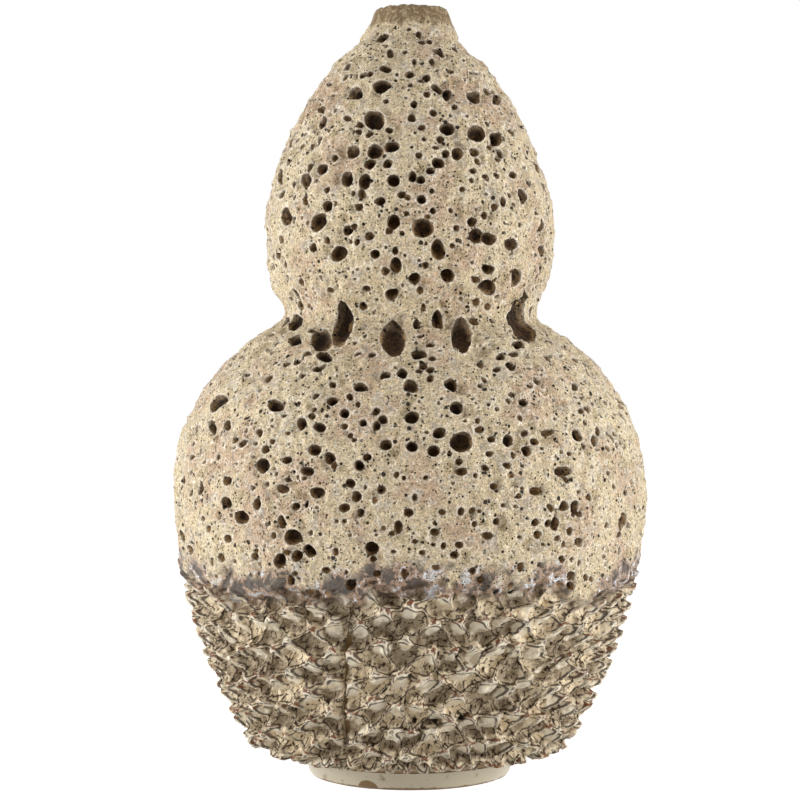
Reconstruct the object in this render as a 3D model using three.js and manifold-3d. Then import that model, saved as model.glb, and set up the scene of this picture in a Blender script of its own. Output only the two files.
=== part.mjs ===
import * as THREE from 'three';
import { mergeVertices } from 'three/addons/utils/BufferGeometryUtils.js';
import Module from 'manifold-3d';

// A tall gourd vase in stoneware: two thrown bulbs joined at a waist, a small lip and a turned foot.
// Upright strips of pinched clay cover the lower belly, and a foamed crater glaze covers the rest.
// Millimetres, +Z up. The origin is the middle of the foot, on the surface that the vase stands on.

// Outline: the radius and height of each turning point, glaze and clay points included
const HEIGHT = 400;
const BASE_RADIUS = 84.5;
const BASE_HEIGHT = 17;
const BELLY_RADIUS = 124.5;
const BELLY_HEIGHT = 146;
const WAIST_RADIUS = 67;
const WAIST_HEIGHT = 240.5;
const WAIST_BAND = 6;
const UPPER_RADIUS = 76.6;
const UPPER_HEIGHT = 285;
const NECK_RADIUS = 28;

// Fullness of the four curves between them: 2 is an ellipse, more is squarer, less is leaner
const BASE_FULLNESS = 1.75;
const SHOULDER_FULLNESS = 2.1;
const BREAST_FULLNESS = 3;
const CROWN_FULLNESS = 1.65;

// Lip collar
const COLLAR_HEIGHT = 18;
const COLLAR_PINCH_RADIUS = 24.4;
const COLLAR_PINCH_HEIGHT = 5.5;
const MOUTH_RADIUS = 13.5;
const LIP_THICKNESS = 6.8;

// Foot ring
const FOOT_HEIGHT = 10;
const FOOT_RADIUS = 52;
const FOOT_TOP_RADIUS = 56;
const FOOT_WIDTH = 9;
const FOOT_BEVEL = 1.5;

// Walls and coats, measured square to the surface
const WALL = 6.5;
const FLOOR = 9;
const FLOOR_EDGE_SHARE = 0.8;
const GLAZE_COAT = 5;
const STRIP_DEPTH = 8.5;

// Spiked strips: each carries two columns of points, staggered by half a row, and leans by some degrees
// round the vase from its bottom to its top
const STRIP_TOP = 102.8;
const STRIP_COUNT = 30;
const STRIP_LEAN = 8.6;
const LEAN_HEIGHT = 60;
const HALF_ROWS = 11;
const SCOOP_DEPTH = 4.6;
const SEAM_DEPTH = 2.8;
const SEAM_WIDTH = 0.5;
const OPEN_SEAM_WIDTH = 1.4;
const OPEN_SEAMS = [5, 13, 14, 21, 27];

// The largest craters of each coat: azimuth in degrees (0 is the front), height above the waist, width
// and tallness
const SHOULDER_CRATERS = [
  [-29, -9.5, 8.5, 9],
  [-7, -9.5, 11, 10],
  [22, -9.5, 8, 10],
  [54, -9.5, 10, 10],
  [150, -9.5, 12, 10],
  [262, -9.5, 10, 10],
  [40, -73.5, 18, 13],
  [28, -56.5, 15, 12],
  [13, -57.5, 10, 11],
  [110, -40.5, 14, 12],
  [196, -62.5, 15, 13],
  [300, -44.5, 14, 11],
];
const UPPER_CRATERS = [
  [3, 45.5, 10.5, 10],
  [-32, 31.5, 9, 8],
  [-13, 100.5, 9, 9],
  [215, 49.5, 11, 12],
];
const CRATER_DEPTH_SHARE = 0.7;

// The middling craters between them: a spiral with a golden turn from each to the next spreads them evenly
const CRATER_SPACING = 36;
const CRATER_WIDTHS = [7.5, 10, 8.5, 11.5, 9];
const CRATER_TALLNESS = 0.92;
const CRATER_CLEARANCE = 2.5;
const GOLDEN_TURN = 137.5;

// Clearances between pieces that are joined face to face
const JOINT_GAP = 0.3;
const STRIP_GAP = 0.45;

// Fineness of the faceted surfaces
const RING_SEGMENTS = 36;
const CURVE_STEPS = 6;
const BREAST_STEPS = 3;
const SKIRT_STEPS = 3;
const LIP_STEPS = 5;
const SLOPE_STEP = 0.5;
const MERGE_DISTANCE = 1e-4;

const STRIP_ANGLE = 360 / STRIP_COUNT;
const NECK_HEIGHT = HEIGHT - COLLAR_HEIGHT;
const WAIST_LOW = WAIST_HEIGHT - WAIST_BAND / 2;
const WAIST_HIGH = WAIST_HEIGHT + WAIST_BAND / 2;
const HALF_ROW = (STRIP_TOP - BASE_HEIGHT) / HALF_ROWS;

const wasm = await Module();
wasm.setup();

const glazedClay = new THREE.MeshStandardMaterial({ color: 0xc9bda6, roughness: 0.6, metalness: 0 });
const craterGlaze = new THREE.MeshStandardMaterial({ color: 0xcdbfa4, roughness: 0.7, metalness: 0 });
const bareClay = new THREE.MeshStandardMaterial({ color: 0xb9a483, roughness: 0.85, metalness: 0 });
const footGlaze = new THREE.MeshStandardMaterial({ color: 0xd8d2c4, roughness: 0.4, metalness: 0 });
const lipGlaze = new THREE.MeshStandardMaterial({ color: 0x8d7a68, roughness: 0.5, metalness: 0 });

const radians = THREE.MathUtils.degToRad;

// One curve of the outline: it leaves its widest point upright and ends at a given radius and height
function bulge(widest, widestHeight, endRadius, endHeight, fullness) {
  const endShare = (1 - (endRadius / widest) ** fullness) ** (1 / fullness);
  const reach = Math.abs(endHeight - widestHeight) / endShare;
  return (height) => {
    const share = Math.min(Math.abs(height - widestHeight) / reach, 1);
    return widest * (1 - share ** fullness) ** (1 / fullness);
  };
}

const skirtCurve = bulge(BELLY_RADIUS, BELLY_HEIGHT, BASE_RADIUS, BASE_HEIGHT, BASE_FULLNESS);
const shoulderCurve = bulge(BELLY_RADIUS, BELLY_HEIGHT, WAIST_RADIUS, WAIST_LOW, SHOULDER_FULLNESS);
const breastCurve = bulge(UPPER_RADIUS, UPPER_HEIGHT, WAIST_RADIUS, WAIST_HIGH, BREAST_FULLNESS);
const crownCurve = bulge(UPPER_RADIUS, UPPER_HEIGHT, NECK_RADIUS, NECK_HEIGHT, CROWN_FULLNESS);

// Outer radius of the finished vase between the base and the neck
function outlineRadius(height) {
  if (height < BELLY_HEIGHT) return skirtCurve(height);
  if (height < WAIST_LOW) return shoulderCurve(height);
  if (height <= WAIST_HIGH) return WAIST_RADIUS;
  if (height < UPPER_HEIGHT) return breastCurve(height);
  return crownCurve(height);
}

// The point that lies a given depth under the outer surface, square to it
function pointUnder(height, depth) {
  const low = Math.max(height - SLOPE_STEP, BASE_HEIGHT);
  const high = Math.min(height + SLOPE_STEP, NECK_HEIGHT);
  const tangent = new THREE.Vector2(outlineRadius(high) - outlineRadius(low), high - low).normalize();
  const inward = new THREE.Vector2(-tangent.y, tangent.x);
  return new THREE.Vector2(outlineRadius(height), height).addScaledVector(inward, depth);
}

// Heights from a curve's widest point to its end, closer together where the curve turns in
function curveHeights(from, to, steps) {
  const heights = [];
  for (let i = 1; i <= steps; i += 1) {
    heights.push(from + (to - from) * Math.sin((i / steps) * (Math.PI / 2)));
  }
  return heights;
}

// The strips take the wall's outer surface further in, and the step closes in the topmost half row
function wallDepth(height) {
  const share = THREE.MathUtils.clamp((STRIP_TOP - height) / HALF_ROW, 0, 1);
  return GLAZE_COAT + (STRIP_DEPTH - GLAZE_COAT) * share;
}

function turnOut(geometry) {
  const position = geometry.getAttribute('position');
  const index = geometry.getIndex();
  const corners = [0, 1, 2].map(() => new THREE.Vector3());
  let volume = 0;
  for (let i = 0; i < index.count; i += 3) {
    corners.forEach((corner, j) => corner.fromBufferAttribute(position, index.getX(i + j)));
    volume += corners[0].dot(corners[1].cross(corners[2]));
  }
  if (volume < 0) {
    for (let i = 0; i < index.count; i += 3) {
      const kept = index.getX(i + 1);
      index.setX(i + 1, index.getX(i + 2));
      index.setX(i + 2, kept);
    }
  }
  return geometry;
}

function joined(geometry) {
  geometry.deleteAttribute('normal');
  geometry.deleteAttribute('uv');
  return mergeVertices(geometry, MERGE_DISTANCE);
}

// A ring or vessel of revolution from a closed loop of radius and height points
function turned(points) {
  const loop = [...points, points[0]];
  const geometry = new THREE.LatheGeometry(loop, RING_SEGMENTS);
  geometry.rotateX(Math.PI / 2);
  return turnOut(joined(geometry));
}

function toSolid(geometry) {
  const position = geometry.getAttribute('position');
  return new wasm.Manifold(new wasm.Mesh({
    numProp: 3,
    vertProperties: new Float32Array(position.array),
    triVerts: new Uint32Array(geometry.getIndex().array),
  }));
}

function toGeometry(solid) {
  const mesh = solid.getMesh();
  const geometry = new THREE.BufferGeometry();
  geometry.setAttribute('position', new THREE.BufferAttribute(new Float32Array(mesh.vertProperties), 3));
  geometry.setIndex(new THREE.BufferAttribute(new Uint32Array(mesh.triVerts), 1));
  return geometry;
}

function craterBowl([azimuth, aboveWaist, width, tallness], fineness) {
  const height = WAIST_HEIGHT + aboveWaist;
  const depth = GLAZE_COAT * CRATER_DEPTH_SHARE;
  const bowl = joined(new THREE.IcosahedronGeometry(1, fineness));
  bowl.scale(width / 2, depth, tallness / 2);
  const surface = pointUnder(height, 0);
  const under = pointUnder(height, 1);
  const tilt = Math.atan2(under.y - surface.y, surface.x - under.x);
  bowl.rotateX(tilt);
  bowl.translate(0, -surface.x, surface.y);
  bowl.rotateZ(radians(azimuth));
  return toSolid(bowl);
}

// Whether two craters would run into each other
function touches([azimuth, aboveWaist, width], [otherAzimuth, otherAboveWaist, otherWidth]) {
  const turn = ((((azimuth - otherAzimuth) % 360) + 540) % 360) - 180;
  const aside = radians(turn) * outlineRadius(WAIST_HEIGHT + aboveWaist);
  return Math.hypot(aside, aboveWaist - otherAboveWaist) < (width + otherWidth) / 2 + CRATER_CLEARANCE;
}

// Middling craters from one height to another, clear of both ends and of the large ones
function middlingCraters(low, high, large) {
  const found = [];
  const margin = Math.max(...CRATER_WIDTHS) / 2 + CRATER_CLEARANCE;
  let height = low + margin;
  for (let number = 0; height < high - margin; number += 1) {
    const width = CRATER_WIDTHS[number % CRATER_WIDTHS.length];
    const crater = [(number * GOLDEN_TURN) % 360, height - WAIST_HEIGHT, width, width * CRATER_TALLNESS];
    if (!large.some((other) => touches(crater, other))) found.push(crater);
    const slope = (outlineRadius(height + SLOPE_STEP) - outlineRadius(height - SLOPE_STEP)) / (2 * SLOPE_STEP);
    height += CRATER_SPACING ** 2 / (2 * Math.PI * outlineRadius(height) * Math.hypot(1, slope));
  }
  return found;
}

function withCraters(geometry, large, middling) {
  let solid = toSolid(geometry);
  for (const crater of large) solid = solid.subtract(craterBowl(crater, 1));
  for (const crater of middling) solid = solid.subtract(craterBowl(crater, 0));
  return toGeometry(solid);
}

function makeFootRing() {
  const top = FOOT_HEIGHT - JOINT_GAP;
  const inner = FOOT_RADIUS - FOOT_WIDTH;
  return turned([
    new THREE.Vector2(inner + FOOT_BEVEL, 0),
    new THREE.Vector2(FOOT_RADIUS - FOOT_BEVEL, 0),
    new THREE.Vector2(FOOT_RADIUS, FOOT_BEVEL),
    new THREE.Vector2(FOOT_TOP_RADIUS, top),
    new THREE.Vector2(inner, top),
    new THREE.Vector2(inner, FOOT_BEVEL),
  ]);
}

// Thrown lower bulb: a floor that sits on the foot ring, and a wall that rises to the waist
function makeLowerBulb() {
  const skirt = [];
  for (let row = 0; row < HALF_ROWS; row += 2) skirt.push(BASE_HEIGHT + row * HALF_ROW);
  skirt.push(STRIP_TOP);
  const belly = bellyHeights();
  const rows = [...skirt, ...belly.slice(1)];
  const gapAt = (height) => (height < STRIP_TOP ? STRIP_GAP : JOINT_GAP);
  const outer = rows.map((height) => pointUnder(height, wallDepth(height) + gapAt(height)));
  const inner = rows.filter((height, i) => i % 2 === 0 || i === rows.length - 1)
    .map((height) => pointUnder(height, wallDepth(height) + gapAt(height) + WALL));
  outer[outer.length - 1].y = WAIST_HEIGHT - JOINT_GAP / 2;
  inner[inner.length - 1].y = WAIST_HEIGHT - JOINT_GAP / 2;
  const wall = outer[0];
  const room = inner[0];
  const under = new THREE.Vector2((FOOT_TOP_RADIUS + wall.x) / 2, (FOOT_HEIGHT + wall.y) / 2 - FOOT_BEVEL);
  return turned([
    new THREE.Vector2(0, FOOT_HEIGHT),
    new THREE.Vector2(FOOT_TOP_RADIUS, FOOT_HEIGHT),
    under,
    ...outer,
    ...inner.reverse(),
    new THREE.Vector2(room.x * FLOOR_EDGE_SHARE, FOOT_HEIGHT + FLOOR),
    new THREE.Vector2(0, FOOT_HEIGHT + FLOOR),
  ]);
}

// Rows of the wall from the strips' top, over the belly, to the middle of the waist
function bellyHeights() {
  const rows = [];
  for (let i = 0; i <= SKIRT_STEPS; i += 1) {
    rows.push(STRIP_TOP + ((BELLY_HEIGHT - STRIP_TOP) * i) / SKIRT_STEPS);
  }
  return [...rows, ...curveHeights(BELLY_HEIGHT, WAIST_LOW, CURVE_STEPS), WAIST_HEIGHT];
}

// Rows of the upper bulb from the middle of the waist to the neck
function upperHeights() {
  const breast = curveHeights(UPPER_HEIGHT, WAIST_HIGH, BREAST_STEPS).reverse();
  return [WAIST_HEIGHT, ...breast, UPPER_HEIGHT, ...curveHeights(UPPER_HEIGHT, NECK_HEIGHT, CURVE_STEPS)];
}

function makeUpperBulb() {
  const rows = upperHeights();
  const outer = rows.map((height) => pointUnder(height, GLAZE_COAT + JOINT_GAP));
  const inner = rows.filter((height, i) => i % 2 === 0 || i === rows.length - 1)
    .map((height) => pointUnder(height, GLAZE_COAT + JOINT_GAP + WALL));
  outer[0].y = WAIST_HEIGHT + JOINT_GAP / 2;
  inner[0].y = WAIST_HEIGHT + JOINT_GAP / 2;
  return turned([...outer, ...inner.reverse()]);
}

// A coat of foamed glaze over the wall, cut short by a gap at its bottom and top, with its craters
function makeGlazeCoat(rows, craters, bottom, top) {
  const outer = rows.map((height) => pointUnder(height, 0));
  const inner = rows.map((height) => pointUnder(height, GLAZE_COAT));
  for (const side of [outer, inner]) {
    side[0].y += bottom;
    side[side.length - 1].y -= top;
  }
  const middling = middlingCraters(rows[0], rows[rows.length - 1], craters);
  return withCraters(turned([...outer, ...inner.reverse()]), craters, middling);
}

// Lip collar: it sits on the ends of the upper wall and its glaze, and rolls over at the mouth
function makeLipCollar() {
  const outerSeat = pointUnder(NECK_HEIGHT, 0);
  const innerSeat = pointUnder(NECK_HEIGHT, GLAZE_COAT + JOINT_GAP + WALL);
  const along = new THREE.Vector2().subVectors(innerSeat, outerSeat).normalize();
  const lift = new THREE.Vector2(along.y, -along.x).multiplyScalar(JOINT_GAP);
  const roll = LIP_THICKNESS / 2;
  const lip = [];
  for (let i = 0; i <= LIP_STEPS; i += 1) {
    const turn = (Math.PI * i) / LIP_STEPS;
    lip.push(new THREE.Vector2(
      MOUTH_RADIUS + roll + roll * Math.cos(turn),
      HEIGHT - roll + roll * Math.sin(turn),
    ));
  }
  lip[Math.round(LIP_STEPS / 2)].y = HEIGHT;
  return turned([
    outerSeat.clone().add(lift),
    new THREE.Vector2(COLLAR_PINCH_RADIUS, NECK_HEIGHT + COLLAR_PINCH_HEIGHT),
    ...lip,
    new THREE.Vector2(MOUTH_RADIUS + roll / 2, NECK_HEIGHT + COLLAR_PINCH_HEIGHT / 2),
    innerSeat.clone().add(lift),
  ]);
}

// Depth of a strip's face under the outline: two columns of points, staggered by half a row
function reliefDepth(row, column) {
  if (row === 0 || row === HALF_ROWS || column % 2 === 0) return SEAM_DEPTH;
  const isPoint = (row + (column === 1 ? 1 : 0)) % 2 === 0;
  return isPoint ? 0 : SCOOP_DEPTH;
}

function seamWidth(number) {
  return OPEN_SEAMS.includes(number) ? OPEN_SEAM_WIDTH : SEAM_WIDTH;
}

function onStrip(number, share, height, depth) {
  const point = pointUnder(height, depth);
  const edgeWidth = seamWidth(share < 0 ? number : (number + 1) % STRIP_COUNT) / 2;
  const edgeAngle = THREE.MathUtils.radToDeg(edgeWidth / point.x);
  const lean = (STRIP_LEAN * (height - LEAN_HEIGHT)) / (STRIP_TOP - BASE_HEIGHT);
  const middle = (number - STRIP_COUNT / 2) * STRIP_ANGLE;
  const azimuth = radians(middle + lean + share * (STRIP_ANGLE / 2 - edgeAngle));
  return [point.x * Math.sin(azimuth), -point.x * Math.cos(azimuth), point.y];
}

// One strip: a pinched face of five columns, and a plain back of three that lies on the wall
function makeSpikedStrip(number) {
  const positions = [];
  const triangles = [];
  const add = (...args) => positions.push(...onStrip(number, ...args)) / 3 - 1;
  const top = (height) => Math.min(height, STRIP_TOP - JOINT_GAP / 2);
  const face = [];
  const back = [];
  for (let row = 0; row <= HALF_ROWS; row += 1) {
    const height = BASE_HEIGHT + row * HALF_ROW;
    face.push([-1, -0.5, 0, 0.5, 1].map((share, column) => add(share, top(height), reliefDepth(row, column))));
  }
  for (let row = 0; row <= HALF_ROWS; row += 1) {
    const height = BASE_HEIGHT + row * HALF_ROW;
    const isKept = row % 2 === 0 || row === HALF_ROWS;
    back.push(isKept ? [-1, 0, 1].map((share) => add(share, top(height), wallDepth(height))) : null);
  }
  const quad = (a, b, c, d) => triangles.push(a, b, c, a, c, d);
  for (let row = 0; row < HALF_ROWS; row += 1) {
    for (let column = 0; column < 4; column += 1) {
      const [a, b] = [face[row][column], face[row][column + 1]];
      const [c, d] = [face[row + 1][column + 1], face[row + 1][column]];
      if ((row + column) % 2 === 0) quad(a, b, c, d);
      else quad(b, c, d, a);
    }
  }
  for (let row = 0; row < HALF_ROWS; row += 2) {
    const next = Math.min(row + 2, HALF_ROWS);
    for (let column = 0; column < 2; column += 1) {
      quad(back[row][column + 1], back[row][column], back[next][column], back[next][column + 1]);
    }
    for (const [edge, backEdge, flip] of [[0, 0, false], [4, 2, true]]) {
      const corner = back[row][backEdge];
      const upper = back[next][backEdge];
      const middle = next - row === 2 ? [[face[row + 1][edge], face[next][edge]]] : [];
      const sides = [
        [corner, face[row][edge], face[row + 1][edge]],
        [corner, face[row + 1][edge], upper],
        ...middle.map(([low, high]) => [upper, low, high]),
      ];
      for (const [a, b, c] of sides) triangles.push(...(flip ? [a, c, b] : [a, b, c]));
    }
  }
  for (const [row, flip] of [[0, false], [HALF_ROWS, true]]) {
    const [f, b] = [face[row], back[row]];
    const caps = [[b[0], f[1], f[0]], [b[0], f[2], f[1]], [b[0], b[1], f[2]], [b[1], b[2], f[2]],
      [b[2], f[3], f[2]], [b[2], f[4], f[3]]];
    for (const [p, q, r] of caps) triangles.push(...(flip ? [p, r, q] : [p, q, r]));
  }
  const geometry = new THREE.BufferGeometry();
  geometry.setAttribute('position', new THREE.Float32BufferAttribute(positions, 3));
  geometry.setIndex(triangles);
  return turnOut(geometry);
}

const vase = new THREE.Group();

function place(name, geometry, material) {
  const mesh = new THREE.Mesh(geometry, material);
  mesh.name = name;
  vase.add(mesh);
}

place('foot_ring', makeFootRing(), footGlaze);
place('lower_bulb', makeLowerBulb(), bareClay);
place('upper_bulb', makeUpperBulb(), bareClay);
place('lip_collar', makeLipCollar(), lipGlaze);
const shoulderCoat = makeGlazeCoat(bellyHeights(), SHOULDER_CRATERS, JOINT_GAP / 2, JOINT_GAP / 2);
const upperCoat = makeGlazeCoat(upperHeights(), UPPER_CRATERS, JOINT_GAP / 2, 0);
place('shoulder_crater_glaze', shoulderCoat, craterGlaze);
place('upper_crater_glaze', upperCoat, craterGlaze);
for (let number = 0; number < STRIP_COUNT; number += 1) {
  place(`spiked_strip_${String(number + 1).padStart(2, '0')}`, makeSpikedStrip(number), glazedClay);
}

export default vase;
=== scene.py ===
# %% [markdown]
# # A stoneware gourd vase
# The vase is two thrown bulbs, joined at a waist, with a small lip and a turned foot. A foamed glaze full
# of burst bubbles covers the upper two thirds. Upright strips of clay, pinched into rows of points, cover
# the lower belly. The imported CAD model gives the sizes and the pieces, and this script gives each piece
# the fine relief and the finish of the real one.

import math

import bpy
import numpy as np
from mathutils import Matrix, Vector


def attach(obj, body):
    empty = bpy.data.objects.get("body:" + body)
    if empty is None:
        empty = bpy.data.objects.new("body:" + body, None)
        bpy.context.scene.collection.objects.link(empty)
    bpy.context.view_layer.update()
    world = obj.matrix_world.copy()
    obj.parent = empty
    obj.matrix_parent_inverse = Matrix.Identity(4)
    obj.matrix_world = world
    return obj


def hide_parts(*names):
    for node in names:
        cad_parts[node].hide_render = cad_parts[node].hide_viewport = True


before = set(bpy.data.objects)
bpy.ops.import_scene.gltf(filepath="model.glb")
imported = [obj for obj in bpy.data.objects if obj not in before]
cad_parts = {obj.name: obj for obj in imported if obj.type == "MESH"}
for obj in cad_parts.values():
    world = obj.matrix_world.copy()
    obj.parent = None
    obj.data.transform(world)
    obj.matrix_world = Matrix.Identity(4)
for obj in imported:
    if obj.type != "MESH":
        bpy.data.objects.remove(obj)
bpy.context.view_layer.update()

# %% [markdown]
# ## The outline
# A thrown pot is described by its profile. Four curves, each part of a rounded oval, run from the base
# over the belly to the waist and over the upper bulb to the neck. They have the same sizes as the CAD
# model's, so whatever is built on them fits the model's pieces. All sizes here are in millimetres.

# %% Profile of the vase
HEIGHT = 400.0
BASE_RADIUS, BASE_HEIGHT = 84.5, 17.0
BELLY_RADIUS, BELLY_HEIGHT = 124.5, 146.0
WAIST_RADIUS, WAIST_HEIGHT, WAIST_BAND = 67.0, 240.5, 6.0
UPPER_RADIUS, UPPER_HEIGHT = 76.6, 285.0
NECK_RADIUS, NECK_HEIGHT = 28.0, 382.0
STRIP_TOP = 102.8
WAIST_LOW, WAIST_HIGH = WAIST_HEIGHT - WAIST_BAND / 2, WAIST_HEIGHT + WAIST_BAND / 2
# Each curve: widest radius and its height, radius and height of the end, and how full the oval is
SKIRT = (BELLY_RADIUS, BELLY_HEIGHT, BASE_RADIUS, BASE_HEIGHT, 1.75)
SHOULDER = (BELLY_RADIUS, BELLY_HEIGHT, WAIST_RADIUS, WAIST_LOW, 2.1)
BREAST = (UPPER_RADIUS, UPPER_HEIGHT, WAIST_RADIUS, WAIST_HIGH, 3.0)
CROWN = (UPPER_RADIUS, UPPER_HEIGHT, NECK_RADIUS, NECK_HEIGHT, 1.65)
MM = 0.001
TURN = 2 * math.pi


def bulge(heights, widest, widest_height, end, end_height, fullness):
    """Radius of one curve of the profile, from its widest point to its end."""
    end_share = (1 - (end / widest) ** fullness) ** (1 / fullness)
    reach = abs(end_height - widest_height) / end_share
    share = np.minimum(np.abs(heights - widest_height) / reach, 1)
    return widest * (1 - share ** fullness) ** (1 / fullness)


def outline(heights):
    """Outer radius of the finished vase at each height."""
    skirt, shoulder, breast, crown = (bulge(heights, *curve) for curve in (SKIRT, SHOULDER, BREAST, CROWN))
    places = [heights < BELLY_HEIGHT, heights < WAIST_LOW, heights <= WAIST_HIGH, heights < UPPER_HEIGHT]
    return np.select(places, [skirt, shoulder, np.full_like(heights, WAIST_RADIUS), breast], crown)


# The profile goes on under the base to the foot, and over the lip into the mouth: radius and height
UNDERSIDE = [(57.5, 10.4), (62, 11.1), (70, 12.3), (77, 13.7), (82, 15.4)]
LIP = [
    (26.6, 383.6), (25.4, 385.6), (24.5, 387.5), (23.2, 389.7), (22, 391.2), (21.2, 393.2), (20.4, 395.2),
    (19.6, 397.2), (18.4, 398.9), (17, 399.7), (15.2, 399.7), (14, 398.6), (13.5, 396.6), (13.6, 392),
    (15.2, 385), (19, 377.5),
]
STEP = 0.1
# Steps over which the joints of the curves, the whole profile and its slope are rounded off
CURVE_SOFTNESS, PROFILE_SOFTNESS, SLOPE_SOFTNESS = 71, 21, 31


def lengths_along(r, z):
    """Distance from the start of a line at each of its points."""
    return np.concatenate([[0], np.cumsum(np.hypot(np.diff(r), np.diff(z)))])


def resample(points):
    """Points at even steps along a line of (radius, height) points."""
    r, z = np.array(points, float).T
    length = lengths_along(r, z)
    at = np.arange(0, length[-1], STEP)
    return np.interp(at, length, r), np.interp(at, length, z)


def soften(values, width):
    """A running mean that keeps the ends where they are."""
    window = np.hanning(width)
    padded = np.pad(values, width // 2, mode="reflect", reflect_type="odd")
    return np.convolve(padded, window / window.sum(), mode="valid")


body_z = np.arange(BASE_HEIGHT, NECK_HEIGHT, STEP)
body_r = soften(outline(body_z), CURVE_SOFTNESS)
under_r, under_z = resample(UNDERSIDE + [(body_r[0], body_z[0])])
lip_r, lip_z = resample([(body_r[-1], body_z[-1])] + LIP)
profile_r = soften(np.concatenate([under_r, body_r, lip_r]), PROFILE_SOFTNESS)
profile_z = soften(np.concatenate([under_z, body_z, lip_z]), PROFILE_SOFTNESS)
profile_s = lengths_along(profile_r, profile_z)
slope_r = soften(np.gradient(profile_r, profile_s), SLOPE_SOFTNESS)
slope_z = soften(np.gradient(profile_z, profile_s), SLOPE_SOFTNESS)
LENGTH = profile_s[-1]
body = slice(len(under_z), len(under_z) + len(body_z))


def along(height):
    """Distance along the profile at which a height is reached."""
    return np.interp(height, profile_z[body], profile_s[body])


def height_at(s):
    return np.interp(s, profile_s, profile_z)


def radius_at(s):
    return np.interp(s, profile_s, profile_r)


def place(turn, s, out):
    """Points in millimetres: turn in radians from the front, s along the profile, out from there."""
    tangent_r = np.interp(s, profile_s, slope_r)
    tangent_z = np.interp(s, profile_s, slope_z)
    size = np.hypot(tangent_r, tangent_z)
    radius = radius_at(s) + tangent_z / size * out
    z = height_at(s) - tangent_r / size * out
    return np.stack([radius * np.sin(turn), -radius * np.cos(turn), z], axis=-1)


def on_outline(turn, s):
    """The same with no distance out."""
    return place(turn, s, np.zeros_like(s))


STRIP_S, NECK_S = float(along(STRIP_TOP)), float(along(NECK_HEIGHT))
print(f"profile {LENGTH:.0f} mm long, strips end at {STRIP_S:.0f} and the neck at {NECK_S:.0f}")

# %% [markdown]
# ## Natural unevenness
# Hand-made clay and foamed glaze are uneven at every size. One function gives smooth random bumps of a
# chosen width at any point in space. Because it reads the place of each point, two pieces that meet have
# the same bumps on both sides of their joint.

# %% Bumps
# Large odd numbers that mix the digits of a cell's place, so that neighbours get unlike values
PLACE_MIXERS, SEED_MIXER = (73856093, 19349663, 83492791), 2654435761
DIGIT_MIXERS = (2246822519, 3266489917)
SEED_SHIFT = 7.31


def bumps(points, width, seed):
    """Smooth random values from -1 to 1, about `width` millimetres from one bump to the next."""
    scaled = points / width + seed * SEED_SHIFT
    cell = np.floor(scaled).astype(np.int64)
    blend = scaled - cell
    blend = blend * blend * blend * (blend * (blend * 6 - 15) + 10)
    total = np.zeros(points.shape[:-1])
    for corner in range(8):
        offset = np.array([corner & 1, corner >> 1 & 1, corner >> 2 & 1])
        x, y, z = np.moveaxis((cell + offset) * PLACE_MIXERS, -1, 0)
        mixed = (x ^ y ^ z ^ seed * SEED_MIXER) & 0xFFFFFFFF
        mixed = (mixed ^ mixed >> 15) * DIGIT_MIXERS[0] & 0xFFFFFFFF
        mixed = (mixed ^ mixed >> 13) * DIGIT_MIXERS[1] & 0xFFFFFFFF
        value = (mixed ^ mixed >> 16) / 0x7FFFFFFF - 1
        weight = np.where(offset, blend, 1 - blend).prod(axis=-1)
        total += value * weight
    return total


def layered(points, layers, start=0.0):
    """Adds several layers of bumps to a starting value. Each has its height, width and seed."""
    return sum((height * bumps(points, width, seed) for height, width, seed in layers), start)


def fade(value, low, high):
    """0 below low, 1 above high and a soft step between."""
    share = np.clip((value - low) / (high - low), 0, 1)
    return share * share * (3 - 2 * share)


def turned_from(turn, middle):
    """Angle from one turn to another, the short way round."""
    return np.angle(np.exp(1j * (turn - middle)))


# %% [markdown]
# Pinched clay breaks into small flat flakes with sharp borders. For those, cells of random shape are
# spread over the belly, each with its own slant, and every point takes the slant of the cell whose middle
# is nearest.

# %% Flakes
# How far the middle of a cell strays from the middle of its square, as a share of what it could
CELL_STRAY = 0.8


def flakes(turn, s, spacing, seed):
    """Millimetres out for flakes with a slant of about 1 in 1, and the distance from their borders."""
    around = round(TURN * BELLY_RADIUS / spacing)
    cell_rng = np.random.default_rng(seed)
    tall = int(LENGTH / spacing) + 4
    middle_x, middle_y, slant_x, slant_y, level = cell_rng.uniform(-0.5, 0.5, (5, tall, around))
    x, y = turn / TURN * around, s / spacing + 2
    best, second = np.full_like(s, np.inf), np.full_like(s, np.inf)
    out = np.zeros_like(s)
    scale = radius_at(s) / BELLY_RADIUS
    for row in (-1, 0, 1):
        for column in (-1, 0, 1):
            i = np.clip(np.floor(y).astype(int) + row, 0, tall - 1)
            j = np.floor(x).astype(int) + column
            wrapped = j % around
            from_x = (x - j - 0.5 - CELL_STRAY * middle_x[i, wrapped]) * scale
            from_y = y - i - 0.5 - CELL_STRAY * middle_y[i, wrapped]
            distance = np.hypot(from_x, from_y)
            second = np.minimum(second, np.maximum(distance, best))
            slanted = 2 * (slant_x[i, wrapped] * from_x + slant_y[i, wrapped] * from_y)
            slanted = slanted + level[i, wrapped] / 2
            out = np.where(distance < best, slanted, out)
            best = np.minimum(best, distance)
    return out * spacing, (second - best) * spacing


# %% [markdown]
# ## Three grids over the vase
# The relief is worked out on fine grids that wrap round the vase: one for the crater glaze, one for the
# lip and one for the clay strips, which lean a little and have a narrow seam between each strip and the
# next. A grid that meets another has two spare rows beyond its end. They are in no piece, but with them
# the surface normals of both grids agree along the joint, so no line shows there.

# %% Grids
STRIP_COUNT = 30
STRIP_COLUMNS = 36
STRIP_LEAN = math.radians(0.1)
LEAN_HEIGHT = 60.0
ROW_STEP = 0.62
CLOSED_SEAM, OPEN_SEAM = 0.05, 2.4
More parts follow.
